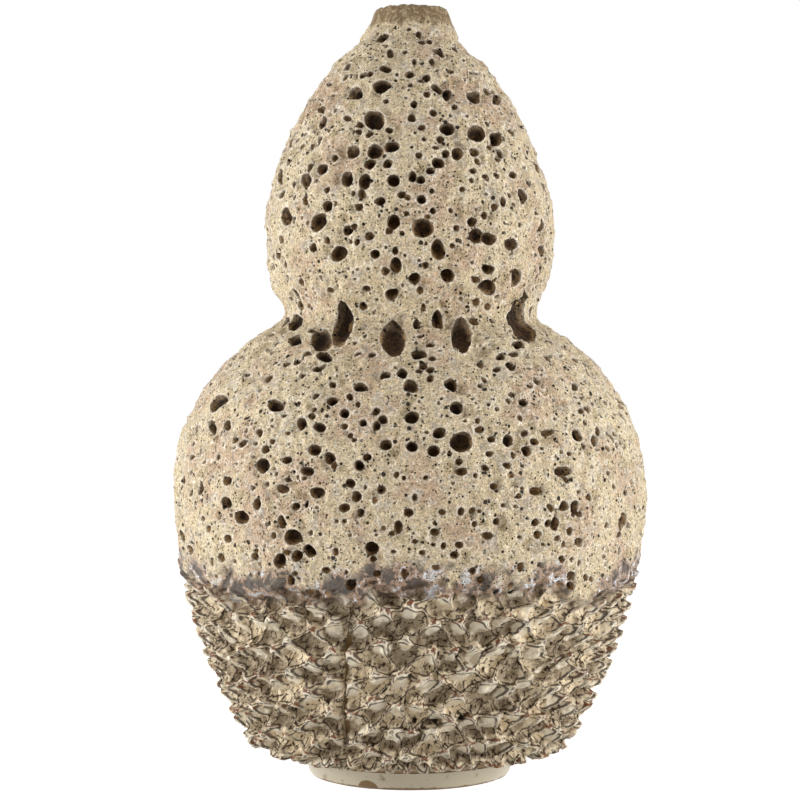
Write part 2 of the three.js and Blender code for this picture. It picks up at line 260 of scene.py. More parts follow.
# Seams that opened in the kiln: number of the strip to the right, and the heights between which it gapes
OPEN_SEAMS = {5: (40, 92), 13: (80, 107), 14: (28, 97), 21: (34, 90), 27: (50, 100)}
# A seam opens over this height, and its width wanders between two shares of the widest
SEAM_FADE, SEAM_WIDTH, SEAM_LIMITS = 3, 0.7, (0.1, 1.4)
SEAM_WANDER = [(0.6, 9.0, 30), (0.5, 3.2, 31)]
STRIP_ANGLE = TURN / STRIP_COUNT
COLUMNS = STRIP_COUNT * STRIP_COLUMNS
LIP_COLUMNS, LIP_ROW_STEP = 300, 0.4
SPARE_ROWS = 2
# No point comes closer to the CAD model's widest radius than this
SIZE_MARGIN = 0.05


class Grid:
    """A sheet of points over the vase. Turn and s say where, and out, side and up how far each moves."""

    def __init__(self, turn, s, first, last):
        self.turn, self.s = turn, s
        self.first, self.last = first, last
        self.radius = radius_at(s)
        self.z = height_at(s)
        self.rest = on_outline(turn, s)
        columns = np.arange(s.shape[1])
        self.left, self.right = np.roll(columns, 1), np.roll(columns, -1)

    def blanks(self, count):
        return (np.zeros_like(self.s) for _ in range(count))

    def bumps(self, *layers, start=0.0):
        return layered(self.rest, layers, start)

    def points(self):
        turn = self.turn + self.side / self.radius
        s = np.clip(self.s + self.up, 0, LENGTH)
        points = place(turn, s, self.out)
        flat = np.hypot(points[..., 0], points[..., 1])
        points[..., :2] *= np.minimum(1, (BELLY_RADIUS - SIZE_MARGIN) / flat)[..., None]
        return points

    def find_normals(self):
        across = self.xyz[:, self.right] - self.xyz[:, self.left]
        upward = np.gradient(self.xyz, axis=0)
        normals = np.cross(across, upward)
        self.normals = normals / np.maximum(np.linalg.norm(normals, axis=-1, keepdims=True), 1e-9)


def even_rows(low, high, step, below, above):
    """Even rows from low to high, and spare rows beyond each end."""
    count = round((high - low) / step)
    step = (high - low) / count
    return low + step * np.arange(-below, count + 1 + above), below, below + count


def ring_grid(low, high, columns, step, below, above):
    start = STRIP_LEAN * (STRIP_TOP - LEAN_HEIGHT) - STRIP_ANGLE / 2
    rows, first, last = even_rows(low, high, step, below, above)
    s, turn = np.meshgrid(rows, start + np.arange(columns) * TURN / columns, indexing="ij")
    return Grid(turn, s, first, last)


def seam_gaps(s):
    """Width of the seam on the left of each strip, row by row."""
    gaps = np.full((len(s), STRIP_COUNT), CLOSED_SEAM)
    height = height_at(s)
    for number, (low, high) in OPEN_SEAMS.items():
        seam = on_outline(np.full_like(s, (number - (STRIP_COUNT + 1) / 2) * STRIP_ANGLE), s)
        width = OPEN_SEAM * np.clip(layered(seam, SEAM_WANDER, SEAM_WIDTH), *SEAM_LIMITS)
        opens = fade(height, low - SEAM_FADE, low + SEAM_FADE)
        closes = fade(height, high - SEAM_FADE, high + SEAM_FADE)
        gaps[:, number] += width * (opens * (1 - closes))
    return gaps


def strip_grid():
    """Rows by strips by columns, flattened to rows by columns."""
    rows, first, last = even_rows(0, STRIP_S, ROW_STEP, 0, SPARE_ROWS)
    s = rows[:, None, None]
    number = np.arange(STRIP_COUNT)[None, :, None]
    share = np.linspace(-1, 1, STRIP_COLUMNS + 1)[None, None, :]
    gap = seam_gaps(rows)
    left, right = gap[:, :, None], np.roll(gap, -1, axis=1)[:, :, None]
    half_gap = np.where(share < 0, left, right) / 2 / radius_at(s)
    lean = STRIP_LEAN * (height_at(s) - LEAN_HEIGHT)
    turn = (number - STRIP_COUNT / 2) * STRIP_ANGLE + lean + share * (STRIP_ANGLE / 2 - half_gap)
    shape = (len(rows), STRIP_COUNT * (STRIP_COLUMNS + 1))
    grid = Grid(turn.reshape(shape), np.broadcast_to(s, turn.shape).reshape(shape).copy(), first, last)
    # Across a closed seam the surface normals look past the two columns that meet there
    for number in range(STRIP_COUNT):
        edge = number * (STRIP_COLUMNS + 1)
        before = edge - 1
        grid.left[edge] = edge if number in OPEN_SEAMS else before - 1
        grid.right[before] = before if number in OPEN_SEAMS else edge + 1
    return grid


coat = ring_grid(STRIP_S, NECK_S, COLUMNS, ROW_STEP, SPARE_ROWS, SPARE_ROWS)
collar = ring_grid(NECK_S, LENGTH, LIP_COLUMNS, LIP_ROW_STEP, SPARE_ROWS, 0)
strips = strip_grid()
GRIDS = {"coat": coat, "collar": collar, "strips": strips}
for name, grid in GRIDS.items():
    print(name, "grid", grid.s.shape)

# %% [markdown]
# ## The ragged glaze line
# The glaze ran down over the tops of the strips and stopped in an uneven line. Above the line the clay
# points sink into the glaze. `clay` is 1 where bare relief shows and 0 where the foam covers it.

# %% Glaze line
LINE_HEIGHT = 104.0
LINE_WANDER, LINE_RAGGED = [(5.0, 24.0, 1), (5.0, 7.0, 2)], (2.0, 5.0, 3)
SINKS_BELOW, SINKS_ABOVE = -3.0, 6.0


def clay_share(grid):
    ring = on_outline(grid.turn, np.full_like(grid.s, along(LINE_HEIGHT)))
    line = layered(ring, LINE_WANDER, LINE_HEIGHT) + grid.bumps(LINE_RAGGED)
    return 1 - fade(grid.z - line, SINKS_BELOW, SINKS_ABOVE), line


for grid in GRIDS.values():
    grid.clay, grid.line = clay_share(grid)
print("glaze line from", round(float(coat.line.min())), "to", round(float(coat.line.max())), "mm")

# %% [markdown]
# ## Craters of the glaze
# Gas bubbles rise through thick glaze in the kiln and burst, and each leaves a round pit with a sharp,
# slightly raised rim. A height map can't undercut, so the grid points are moved sideways too: the wall of
# each pit turns in past upright under its rim. The larger craters on the side that the photo shows are
# listed one by one, at the pixel where each is seen, with a real width and height. The rest are random.

# %% Craters listed one by one
PHOTO_AXIS_X = 409.5
PHOTO_EYE_Y = 335.0
PHOTO_FOOT_Y = 773.6
PHOTO_DISTANCE = 2290.0
MM_PER_PIXEL = 0.5232
WIDEST_GROWTH, TALLEST_GROWTH = 1.8, 1.7
# Seen from the camera, no crater lies closer to the outline than this sine of its turn
EDGE_SINE = 0.995
SEARCH_STEPS = 60

# Each crater: pixel x and y in the photo, width and height in millimetres as they are seen
WAIST_CRATERS = [
    (343.5, 323, 10, 21), (392.5, 335, 13.5, 20), (462.5, 334, 11, 19), (518, 321, 12, 20),
    (318.5, 337, 11, 13), (295.5, 320, 7, 7), (292.5, 337, 6.5, 6.5), (437.5, 318, 6, 8),
    (416.5, 322, 4, 5), (419, 350, 8.5, 6.5), (423.5, 361.5, 4.5, 4), (431, 374, 4, 4.5),
    (481.5, 361, 4, 4.5), (323, 354, 7.5, 5), (295.5, 360, 4, 4), (331, 382, 4, 3.5), (349, 395, 3.5, 4),
    (515, 351, 5.5, 4), (502, 354, 4.5, 4.5),
]
UPPER_CRATERS = [
    (423, 228, 11.5, 10.5), (393, 222, 7, 8.5), (316, 222, 8, 10.5), (336, 254, 9, 8.5),
    (395, 267, 6.5, 9.5), (449, 277, 7, 7.5), (391, 297, 7, 7), (490, 289, 8, 9), (491, 239, 7.5, 7),
    (478, 236, 8.5, 8), (421, 179, 5, 5), (439, 162, 7, 6.5), (422, 199, 5, 5), (345, 178, 7, 9),
    (303, 180, 7, 8), (364, 181, 6.5, 9), (393, 180, 6.5, 6.5), (420, 292, 4, 4), (430, 40, 3.5, 3.5),
    (433, 59, 3.5, 4.5), (427, 76, 4.5, 4.5), (427, 93, 4, 4), (414, 103, 4, 4), (448, 93, 5, 6),
    (381, 84, 10.5, 6.5), (352, 91, 8, 7.5), (384, 66, 6.5, 4.5), (389, 51, 4, 5), (362, 74, 5, 3.5),
    (373, 118, 10.5, 9.5), (358, 123, 3.5, 3.5), (388, 128, 4.5, 3.5), (391, 145, 8.5, 7),
    (350, 150, 8, 7), (332, 157, 3.5, 4.5), (419, 154, 4, 3.5), (459, 152, 6, 7.5), (476, 151, 6, 5),
    (431, 170, 4.5, 4.5), (320, 168, 6.5, 6), (448, 128, 8.5, 6), (478, 133, 9.5, 9.5),
    (498, 138, 6.5, 8), (477, 95, 8.5, 7.5), (499, 98, 5, 6.5),
]
SHOULDER_CRATERS = [
    (434, 450, 6.5, 6.5), (457, 406, 7, 6.5), (462, 441, 11, 11.5), (440, 431, 6.5, 6), (412, 446, 6, 6),
    (412, 415, 7.5, 7.5), (385, 443, 6.5, 6.5), (382, 417, 5, 5), (385, 373, 6, 4.5), (411, 383, 8, 8),
    (451, 383, 7, 7), (358, 465, 5, 6), (349, 483, 5, 5), (381, 490, 5, 5), (355, 497, 5, 6.5),
    (398, 528, 4.5, 7.5), (435, 533, 5, 4.5), (371, 550, 7, 8), (279, 523, 4.5, 7.5), (238, 518, 7, 7.5),
    (291, 538, 9.5, 8.5), (273, 404, 7.5, 7), (299, 422, 5, 7), (318, 426, 6, 5), (313, 449, 7, 6.5),
    (259, 465, 8, 8.5), (280, 489, 6.5, 5), (315, 493, 8, 6.5), (306, 471, 6.5, 5), (223, 503, 4.5, 6.5),
    (197, 488, 3, 8.5), (209, 426, 3.5, 8), (256, 431, 4, 4.5), (343, 424, 4, 4), (343, 411, 5, 5),
    (331, 399, 6, 5), (360, 385, 7.5, 5), (566, 471, 8.5, 6), (510, 439, 6, 6.5), (529, 450, 4.5, 6),
    (578, 509, 6, 9), (573, 532, 4.5, 5), (582, 543, 5, 5), (537, 523, 4, 4.5), (540, 491, 6, 4.5),
    (497, 486, 4.5, 4), (526, 432, 3.5, 3.5), (538, 377, 4.5, 4), (521, 496, 3, 3.5), (611, 526, 3, 3.5),
    (626, 526, 3, 7.5), (572, 453, 3, 3), (506, 506, 3, 3), (585, 395, 3, 2.5), (518, 507, 2.5, 2.5),
    (489, 537, 6, 4.5), (474, 511, 3.5, 4), (462, 512, 3.5, 5), (500, 523, 4, 4.5), (463, 471, 6, 4.5),
    (460, 461, 4, 4), (493, 438, 4, 4), (539, 378, 5, 4), (498, 367, 4.5, 3.5), (552, 430, 6.5, 4),
    (611, 473, 4, 3.5), (224, 540, 4, 4.5), (349, 536, 2.5, 2.5), (324, 572, 4.5, 3.5),
    (350, 586, 5.5, 6), (377, 575, 4, 4), (404, 576, 3.5, 6), (460, 546, 4.5, 4), (455, 556, 4.5, 4.5),
    (278, 562, 7, 8), (295, 557, 5, 6), (372, 561, 3.5, 3.5),
]
# The large craters of the sides and the back: azimuth in degrees, height, width and tallness
FAR_CRATERS = [
    (110, 200, 14, 12), (150, 236, 12, 15), (196, 178, 15, 13), (215, 290, 11, 12), (262, 236, 10, 14),
    (300, 196, 14, 11),
]


def seen_at(x, y):
    """Turn and height of the point of the outline that the photo shows at a pixel."""
    turn, height = 0.0, (PHOTO_FOOT_Y - y) * MM_PER_PIXEL
    for _ in range(SEARCH_STEPS):
        radius = float(outline(np.array([height]))[0]) / MM_PER_PIXEL
        depth = PHOTO_DISTANCE - radius * math.cos(turn)
        sine = (x - PHOTO_AXIS_X) * depth / (PHOTO_DISTANCE * radius)
        turn = 0.5 * turn + 0.5 * math.asin(max(-EDGE_SINE, min(EDGE_SINE, sine)))
        seen = (PHOTO_FOOT_Y - PHOTO_EYE_Y) - (y - PHOTO_EYE_Y) * depth / PHOTO_DISTANCE
        height = 0.5 * height + 0.5 * min(max(seen * MM_PER_PIXEL, BASE_HEIGHT), NECK_HEIGHT)
    return turn, height


craters = []
for x, y, width, tallness in WAIST_CRATERS + UPPER_CRATERS + SHOULDER_CRATERS:
    # On a surface that is turned away a crater is seen narrower than it is
    half = tallness / 2 / MM_PER_PIXEL
    turn = seen_at(x, y)[0]
    (high_turn, high), (low_turn, low) = seen_at(x, y - half), seen_at(x, y + half)
    top, bottom = float(along(high)), float(along(low))
    wider = min(1 / math.cos(turn), WIDEST_GROWTH)
    taller = min(top - bottom, TALLEST_GROWTH * tallness)
    slope = (high_turn - low_turn) / (top - bottom)
    craters.append((turn, (top + bottom) / 2, width / 2 * wider, taller / 2, slope))
for azimuth, height, width, tallness in FAR_CRATERS:
    craters.append((math.radians(azimuth), float(along(height)), width / 2, tallness / 2, 0.0))
print(len(craters), "craters placed by eye")

# %% [markdown]
# The random craters are tried one after another. A new one is kept if it doesn't overlap those already
# there, but one in five may touch its neighbour, because bubbles that burst side by side make a double
# pit. Small pits are far more common than wide ones.

# %% Random craters
CRATER_TRIES = 7000
MEDIAN_RADIUS = 1.32
RADIUS_SPREAD = 0.5
CRATER_LIMITS = (0.8, 3.6)
UPPER_GROWTH = 1.25
CRATERED_LIP = 6.0
CRATER_ROOM = (0.4, 3.2)
DOUBLE_CHANCE, DOUBLE_OVERLAP = 0.2, 0.5
SQUASH = (0.85, 1.18)
READ_WOBBLE = 0.4
TRAITS = 9
rng = np.random.default_rng(11)


def scatter(craters):
    turns, lengths, wide, tall, slopes = np.array(craters).T
    first, last = float(along(LINE_HEIGHT)) + 1, NECK_S + CRATERED_LIP
    for _ in range(CRATER_TRIES):
        s = rng.uniform(first, last)
        around = radius_at(s)
        turn = rng.uniform(-math.pi, math.pi)
        size = MEDIAN_RADIUS * math.exp(rng.normal(0, RADIUS_SPREAD))
        size = float(np.clip(size, *CRATER_LIMITS))
        if s > along(WAIST_HEIGHT):
            size *= UPPER_GROWTH
        room = rng.uniform(*CRATER_ROOM) if rng.random() > DOUBLE_CHANCE else -DOUBLE_OVERLAP * size
        # Where the vase is narrow fewer are kept, so that they are equally dense all over it
        if rng.random() * BELLY_RADIUS >= around:
            continue
        side = turned_from(turns, turn) * around
        reach = np.hypot(side / (wide + size + room), (lengths - s) / (tall + size + room))
        if reach.min() < 1:
            continue
        squash = rng.uniform(*SQUASH)
        turns = np.append(turns, turn)
        lengths = np.append(lengths, s)
        wide = np.append(wide, size * squash)
        tall = np.append(tall, size / squash)
    slopes = np.append(slopes, np.zeros(len(turns) - len(slopes)))
    return np.stack([turns, lengths, wide, tall, slopes], axis=1)


placed = len(craters)
craters = scatter(craters)
crater_traits = rng.uniform(0, 1, (len(craters), TRAITS))
# Those that were read by eye stay near the width and height that were read
crater_traits[:placed, :3] = 0.5 + READ_WOBBLE * (crater_traits[:placed, :3] - 0.5)
print(len(craters), "craters in all")

# %% [markdown]
# Each crater works on the grid points near it. Its deepest place lies aside of its middle, because the
# bubble rose at a slant: on that side the wall hangs over, and on the other side it slopes up gently. The
# gauge is 0 at the deepest place and 1 on the rim. Points close to the rim are pulled onto it, so the
# edge stays crisp although the grid is regular. Where two craters overlap, the nearer one wins, which
# leaves the knife edge that real double pits have.

# %% Cut the craters
UNDERCUT, UNDERCUT_SWING = math.radians(97), math.radians(15)
SKEW = 0.55
DEEPEST = 5.6
DEPTH_OF_SIZE, DEPTH_MORE = 1.5, 0.8
# A swing is the least value, and how much more it can be
DEPTH_SWING, RIM_SWING = (0.75, 0.25), (-0.9, 2.2)
RIM_RISE = 0.45
RIM_WIDTH = 1.3
RIM_REACH = 2.2 * RIM_WIDTH
SNAP = 0.38
RAGGED, RAGGED_EDGE = 0.04, [(1, 2.6, 13), (1, 1.4, 14)]
WAVES, WOBBLE = (2, 3, 4), 0.17
# Grid points this far from the middle of a crater are tried: a share of its size, and millimetres more
TRIED_SHARE, TRIED_MORE = 1.25, 2.5


def swung(swing, trait):
    """A value from a swing, for a random trait from 0 to 1."""
    least, more = swing
    return least + more * trait


def rows_near(grid, s, reach):
    """The first grid row within reach of a distance along the profile, and the row after the last."""
    start, step = grid.s[0, 0], grid.s[1, 0] - grid.s[0, 0]
    return max(int((s - reach - start) / step), 0), min(int((s + reach - start) / step) + 2, len(grid.s))


def window_round(grid, low, high, middle, half):
    """The grid rows from low to high, and as many columns as half to each side of the middle one."""
    return np.ix_(np.arange(low, high), np.arange(middle - half, middle + half + 1) % grid.s.shape[1])


def cut_craters(grid, lean):
    """How far each grid point moves aside, up and out. It also stores where rims and pits are."""
    width = grid.s.shape[1]
    ragged = 1 + RAGGED * grid.bumps(*RAGGED_EDGE)
    grid.reach = np.full_like(grid.s, np.inf)
    grid.rim, grid.fall, grid.low_side, side, up, out = grid.blanks(6)
    for (turn, s, wide, tall, slope), traits in zip(craters, crater_traits):
        margin = max(wide, tall) * TRIED_SHARE + TRIED_MORE
        low, high = rows_near(grid, s, margin)
        if low >= high:
            continue
        middle = int((turn - grid.turn[(low + high) // 2, 0]) / TURN * width)
        spread = ((1 + lean) / float(radius_at(s)) + abs(slope)) * margin
        window = window_round(grid, low, high, middle, int(spread / TURN * width) + 2)
        tilted = grid.turn[window] - slope * (grid.s[window] - s)
        x = turned_from(tilted, turn) * grid.radius[window] / wide
        y = (grid.s[window] - s) / tall
        angle = np.arctan2(y, x)
        round_share = ragged[window]
        for waves, size, phase in zip(WAVES, traits[0:3], traits[3:6]):
            swing = WOBBLE / waves * (2 * size - 1)
            round_share = round_share + swing * np.cos(waves * angle + phase * TURN)
        x, y = x / round_share, y / round_share
        share = np.hypot(x, y)
        skew = SKEW * traits[8]
        aside_x, aside_y = skew * math.cos(traits[6] * TURN), skew * math.sin(traits[6] * TURN)
        from_x, from_y = x - aside_x, y - aside_y
        facing = aside_x * from_x + aside_y * from_y
        square = np.maximum(from_x ** 2 + from_y ** 2, 1e-6)
        gauge = square / (np.sqrt(facing ** 2 + square * (1 - skew ** 2)) - facing)
        to_rim = np.hypot(from_x * wide, from_y * tall) / gauge
        away = (gauge - 1) * to_rim
        near = (share < grid.reach[window]) & (away < RIM_REACH)
        pulled = np.clip((np.abs(away) - SNAP) * 2, 0, np.abs(away)) * np.sign(away)
        snapped = 1 + pulled / to_rim
        undercut = UNDERCUT + UNDERCUT_SWING * facing / np.sqrt(square) / SKEW
        bowl = np.clip(snapped, 0, 1) * undercut
        depth = min(DEEPEST, DEPTH_OF_SIZE * min(wide, tall) + DEPTH_MORE) * swung(DEPTH_SWING, traits[7])
        fall = depth * (np.cos(bowl) - np.cos(undercut)) / (1 - np.cos(undercut))
        wall = np.where(snapped < 1, np.sin(bowl) / np.sin(undercut), snapped)
        halo = np.exp(-(np.maximum(pulled, 0) / RIM_WIDTH) ** 2)
        rise = RIM_RISE * swung(RIM_SWING, traits[7]) * halo
        move_x = (aside_x + from_x * wall / gauge - x) * round_share * wide
        move_y = (aside_y + from_y * wall / gauge - y) * round_share * tall
        # low_side is 1 on the lower side of a pit and 0 on its upper side; the shader paints light and
        # shadow by it.
        fields = side, up, out, grid.rim, grid.fall, grid.reach, grid.low_side
        values = move_x, move_y, rise - fall, halo, fall, share, np.clip(0.5 - y / 2, 0, 1)
        for field, value in zip(fields, values):
            field[window] = np.where(near, value, field[window])
    return side, up, out


# %% [markdown]
# Between the open craters the skin sank over bubbles that never burst. These are wide, shallow dishes
# with soft edges, and the glaze in them is rougher and full of pinholes. Each large crater also has such
# a dish on its sloping side, so its edge is sharp on one side and runs out softly on the other. The
# shader darkens the dishes with painted shade.

# %% Sink the dishes and cut all craters
DISH_COUNT = 150
DISH_RADIUS, DISH_DEPTH = (3.5, 8.0), (0.6, 1.9)
# How far a dish is looked for, how much of it is flat, and how steep its edge is
DISH_TRIED, DISH_FLAT, DISH_EDGE = 1.5, 0.75, 4
FUNNEL_SIZES, FUNNEL_SHARE, FUNNEL_DEPTH, FUNNEL_ASIDE = (1.3, 3.6), 1.5, 0.48, 0.8
# The dishes that the photo shows: pixel x and y, radius in millimetres
SEEN_DISHES = [
    (563, 472, 8.5), (520, 441, 8), (583, 512, 6), (500, 525, 6), (560, 400, 6), (452, 470, 6),
    (300, 500, 7), (255, 460, 6), (455, 212, 7), (330, 250, 6), (400, 215, 6), (515, 205, 5),
    (475, 90, 5), (360, 90, 6), (613, 471, 5), (597, 494, 5), (495, 485, 5.5), (538, 490, 5),
    (585, 394, 4.5), (560, 516, 5), (530, 546, 4), (572, 453, 4), (540, 378, 4),
]


def dish_places():
    dishes = []
    for x, y, radius in SEEN_DISHES:
        turn, height = seen_at(x, y)
        dishes.append((turn, float(along(height)), radius, DISH_DEPTH[1]))
    for _ in range(DISH_COUNT):
        turn, s = rng.uniform(-math.pi, math.pi), rng.uniform(along(LINE_HEIGHT), NECK_S)
        dishes.append((turn, s, rng.uniform(*DISH_RADIUS), rng.uniform(*DISH_DEPTH)))
    for (turn, s, wide, tall, _), traits in zip(craters, crater_traits):
        size = min(wide, tall, FUNNEL_SIZES[1])
        if size > FUNNEL_SIZES[0]:
            angle = traits[6] * TURN
            turn = turn - FUNNEL_ASIDE * wide * math.cos(angle) / radius_at(s)
            s = s - FUNNEL_ASIDE * tall * math.sin(angle)
            dishes.append((turn, s, FUNNEL_SHARE * size, FUNNEL_DEPTH * size))
    return dishes


def sink_dishes(grid):
    """Sets how far the dishes sink each grid point, and a share that is 1 in their middles."""
    grid.sunk, grid.dish = grid.blanks(2)
    for turn, s, radius, depth in dishes:
        rows = np.nonzero(np.abs(grid.s[:, 0] - s) < DISH_TRIED * radius)[0]
        if len(rows) == 0:
            continue
        x = turned_from(grid.turn[rows], turn) * grid.radius[rows]
        share = np.exp(-(np.hypot(x, grid.s[rows] - s) / (DISH_FLAT * radius)) ** DISH_EDGE)
        grid.sunk[rows] = np.maximum(grid.sunk[rows], depth * share)
        grid.dish[rows] = np.maximum(grid.dish[rows], share)


dishes = dish_places()
# The strips lean, so their craters are looked for a little further aside
for grid, lean in ((coat, 0.0), (collar, 0.0), (strips, 0.2)):
    sink_dishes(grid)
    grid.cut = cut_craters(grid, lean)
print(len(dishes), "dishes, and grid points in craters:", int((coat.reach < 1).sum()))

# %% [markdown]
# ## Pinched points
# Each strip carries two columns of points. A point is a scale of clay that a fingertip pushed up and out:
# its face is rounded and brightened with painted light, its upper edge is thin and sharp, and behind that
# edge lies a hollow, darkened with painted shade.
# Between a point, the one above it and its two neighbours lies one diamond of hollow, deepest just above
# the lower point. Tips on the side that the photo shows are listed, and each column goes on with
# the same spacing.

# %% Tips of the points
TIP_ROW = 16.0
COLUMN_COUNT = 60
FIRST_COLUMN, COLUMN_DEGREES = -177, 6
HIGHEST_TIP = 112.0
SIDE_JITTER, ROW_JITTER = 1.1, 1.0
HOLLOW_SHARE = 0.33
# Leaning azimuth in degrees at 60 mm, then the heights of the tips seen in that column
SEEN_TIPS = {
    -45: [91.5, 76], -39: [91.5, 75.5, 60], -33: [97, 81, 65, 49], -27: [100, 87, 71, 56, 40],
    -21: [91, 76, 62, 46], -15: [91, 75, 60, 44.5], -9: [97, 82, 65.5, 52], -3: [100, 83, 65.5, 50],
    3: [105, 92, 78, 63, 50], 9: [92.5, 78, 63, 48], 15: [92.5, 79, 68, 54.5], 21: [95, 80, 61.5, 42],
    27: [100, 90, 79.5, 56.5, 42], 33: [95.5, 78, 62, 45.5, 29.5], 39: [87, 69], 45: [99, 85, 70],
}
# Pinholes that burst in the thin glaze between the points: leaning azimuth, height and width
PINHOLES = [
    (15.7, 106.5, 2.6), (21.2, 105, 2.4), (21.5, 89, 2.2), (32.8, 87, 2.4), (10.5, 75, 1.8),
    (3.5, 39.5, 2.0), (-23, 71, 2.0), (-33.2, 61.7, 2.2), (-33.2, 48.7, 2.2), (-36, 78, 2.0),
    (9.5, 38, 3.2), (17.5, 41.5, 3.0), (-41, 91, 3.0), (-41, 56.5, 3.0),
]


def tip_columns():
    columns = []
    for number in range(COLUMN_COUNT):
        degrees = FIRST_COLUMN + number * COLUMN_DEGREES
        start = HIGHEST_TIP - (number % 2) * TIP_ROW / 2 + rng.normal(0, ROW_JITTER)
        heights = list(SEEN_TIPS.get(degrees, [start]))
        while heights[0] + TIP_ROW < HIGHEST_TIP + TIP_ROW / 2:
            heights.insert(0, heights[0] + TIP_ROW)
        lengths = list(along(np.array(heights)))
        while lengths[-1] > -TIP_ROW / 2:
            lengths.append(lengths[-1] - TIP_ROW + rng.normal(0, ROW_JITTER))
        aside = math.radians(degrees) + rng.normal(0, SIDE_JITTER, len(lengths)) / BELLY_RADIUS
        columns.append(np.stack([aside, lengths], axis=1))
    return columns


def diamonds(columns):
    """Deepest place of each hollow, and its four corners in millimetres from there, anticlockwise."""
    found = []
    for number, column in enumerate(columns):
        beside = (columns[number - 1], columns[(number + 1) % COLUMN_COUNT])
        for upper, lower in zip(column, column[1:]):
            deepest = lower + HOLLOW_SHARE * (upper - lower)
            middle = (upper[1] + lower[1]) / 2
            left, right = (other[np.argmin(np.abs(other[:, 1] - middle))] for other in beside)
            corners = []
            for turn, s in (upper, left, lower, right):
                aside = float(turned_from(turn, deepest[0])) * radius_at(deepest[1])
                corners.append((aside, s - deepest[1]))
            found.append((deepest[0], deepest[1], corners))
    return found


tips = tip_columns()
hollows = diamonds(tips)
print(sum(len(column) for column in tips), "tips and", len(hollows), "hollows")

# %% [markdown]
# The hollows are taken one by one, each on the grid points near it, and the lowest is kept, so they meet
# in sharp ridges. The scales are then added below the tips, and the clay near each tip is dragged up and
# a little aside, so the scale's upper edge hangs over the hollow behind it. Fins are the thin torn edges
# where two hollows meet, and thorns are the sharp ends of the tips. Everything is bent by a slow random
# shift first, because nothing pinched by hand is straight.

# %% Press the clay
HOLLOW_DEPTH, HOLLOW_SWING = 4.6, (0.8, 0.4)
HOLLOW_POWER = 1.4
# Outside all hollows the clay would stand this high
UNPRESSED = 0.5
# How dark the painted shade of a hollow is, from the palest on
HOLLOW_SHADE_SWING = (0.4, 1.02)
RIDGE_REACH = 3
FIN_RISE, FIN_WIDTH, FIN_HEIGHT, FIN_WANDER = 1.7, 1.0, 0.6, (0.6, 5.0, 44)
CORNER_SHARPNESS = 5.0
# Away from the tips the ridges sag
RIDGE_SAG, SAG_REACH = 2.8, 4.6
SCALE_RISE = 1.7
SCALE_WIDTH, SCALE_LENGTH, SCALE_DROP, SCALE_CORNERS = 4.3, 5.4, 4.0, 2.6
SCALE_TILT, SIZE_SWING, LENGTH_SWING = 0.7, (0.75, 0.45), (0.85, 0.3)
THORN_RISE, THORN_WIDTH = 3.0, 1.1
# The tips keep this share of their rise, and all of the clay lies this deep under the outline
KEPT_RISE, CLAY_DEPTH = 0.8, 1.2
DRAG_UP, DRAG_SPREAD, DRAG_REACH, DRAG_SOFTNESS = 2.6, 1.2, 5.0, 1.2
# The rust at a tip: how far up it lies, how it curves down to the sides, its width and its height
RUST_UP, RUST_CURVE, RUST_WIDE, RUST_TALL = 0.2, 0.08, 3.8, 0.9
# Tips whose random trait is past this are as rusty as can be
FULL_RUST = 0.5
# The shaded ledge behind a tip
SHELF_UP, SHELF_WIDE, SHELF_TALL = 2.6, 2.9, 1.7
# Two random shifts, aside and up: height, width and seed of each layer
BENDS = [[(1.3, 6.0, 41), (0.6, 2.8, 43)], [(1.3, 6.0, 42), (0.6, 2.8, 44)]]
# Spacing, height and seed of the flakes, and how much of them the scales keep
FLAKE_LAYERS, FLAKES_ON_SCALES = [(6.5, 0.32, 60), (3.6, 0.12, 61)], 0.25
FLAKE_FADE, BORDER_WIDTH = 0.5, 0.55
HOLLOW_LIMIT = 1.5
HOLE_DEPTH, HOLE_TRIED, HOLE_INNER, HOLE_OUTER = 3.0, 4.0, 0.35, 0.6
# A tip is worked out this far round it. To each side some more columns are tried: a share, and a few.
TIP_REACH = 3 * SCALE_LENGTH
COLUMN_SHARE, MORE_COLUMNS = 1.1, 8
tip_traits = [rng.uniform(0, 1, (len(column), 6)) for column in tips]
hollow_traits = rng.uniform(0, 1, len(hollows))


def window_at(grid, turn, s, reach):
    """The window round a place in leaning azimuth, and millimetres aside and up from the place."""
    low, high = rows_near(grid, s, reach)
    if low >= high:
        return None
    width = grid.s.shape[1]
    per_turn = width / TURN
    middle = int(((turn - grid.upright[(low + high) // 2, 0]) % TURN) * per_turn)
    columns = int(reach / radius_at(max(s, 0)) * per_turn * COLUMN_SHARE) + MORE_COLUMNS
    half = min(columns, width // 2 - 1)
    window = window_round(grid, low, high, middle, half)
    u = turned_from(grid.upright[window], turn) * grid.radius[window]
    return window, u + grid.bend[0][window], grid.s[window] - s + grid.bend[1][window]


def lift(field, window, value):
    field[window] = np.maximum(field[window], value)


def diamond_share(u, v, corners):
    """0 at the deepest place and 1 on the ridges round it."""
    total = np.zeros_like(u)
    for (a, b), (c, d) in zip(corners, corners[1:] + corners[:1]):
        span = (d - b) * a - (c - a) * b
        total += np.maximum(((d - b) * u - (c - a) * v) / span, 0) ** CORNER_SHARPNESS
    return total ** (1 / CORNER_SHARPNESS)


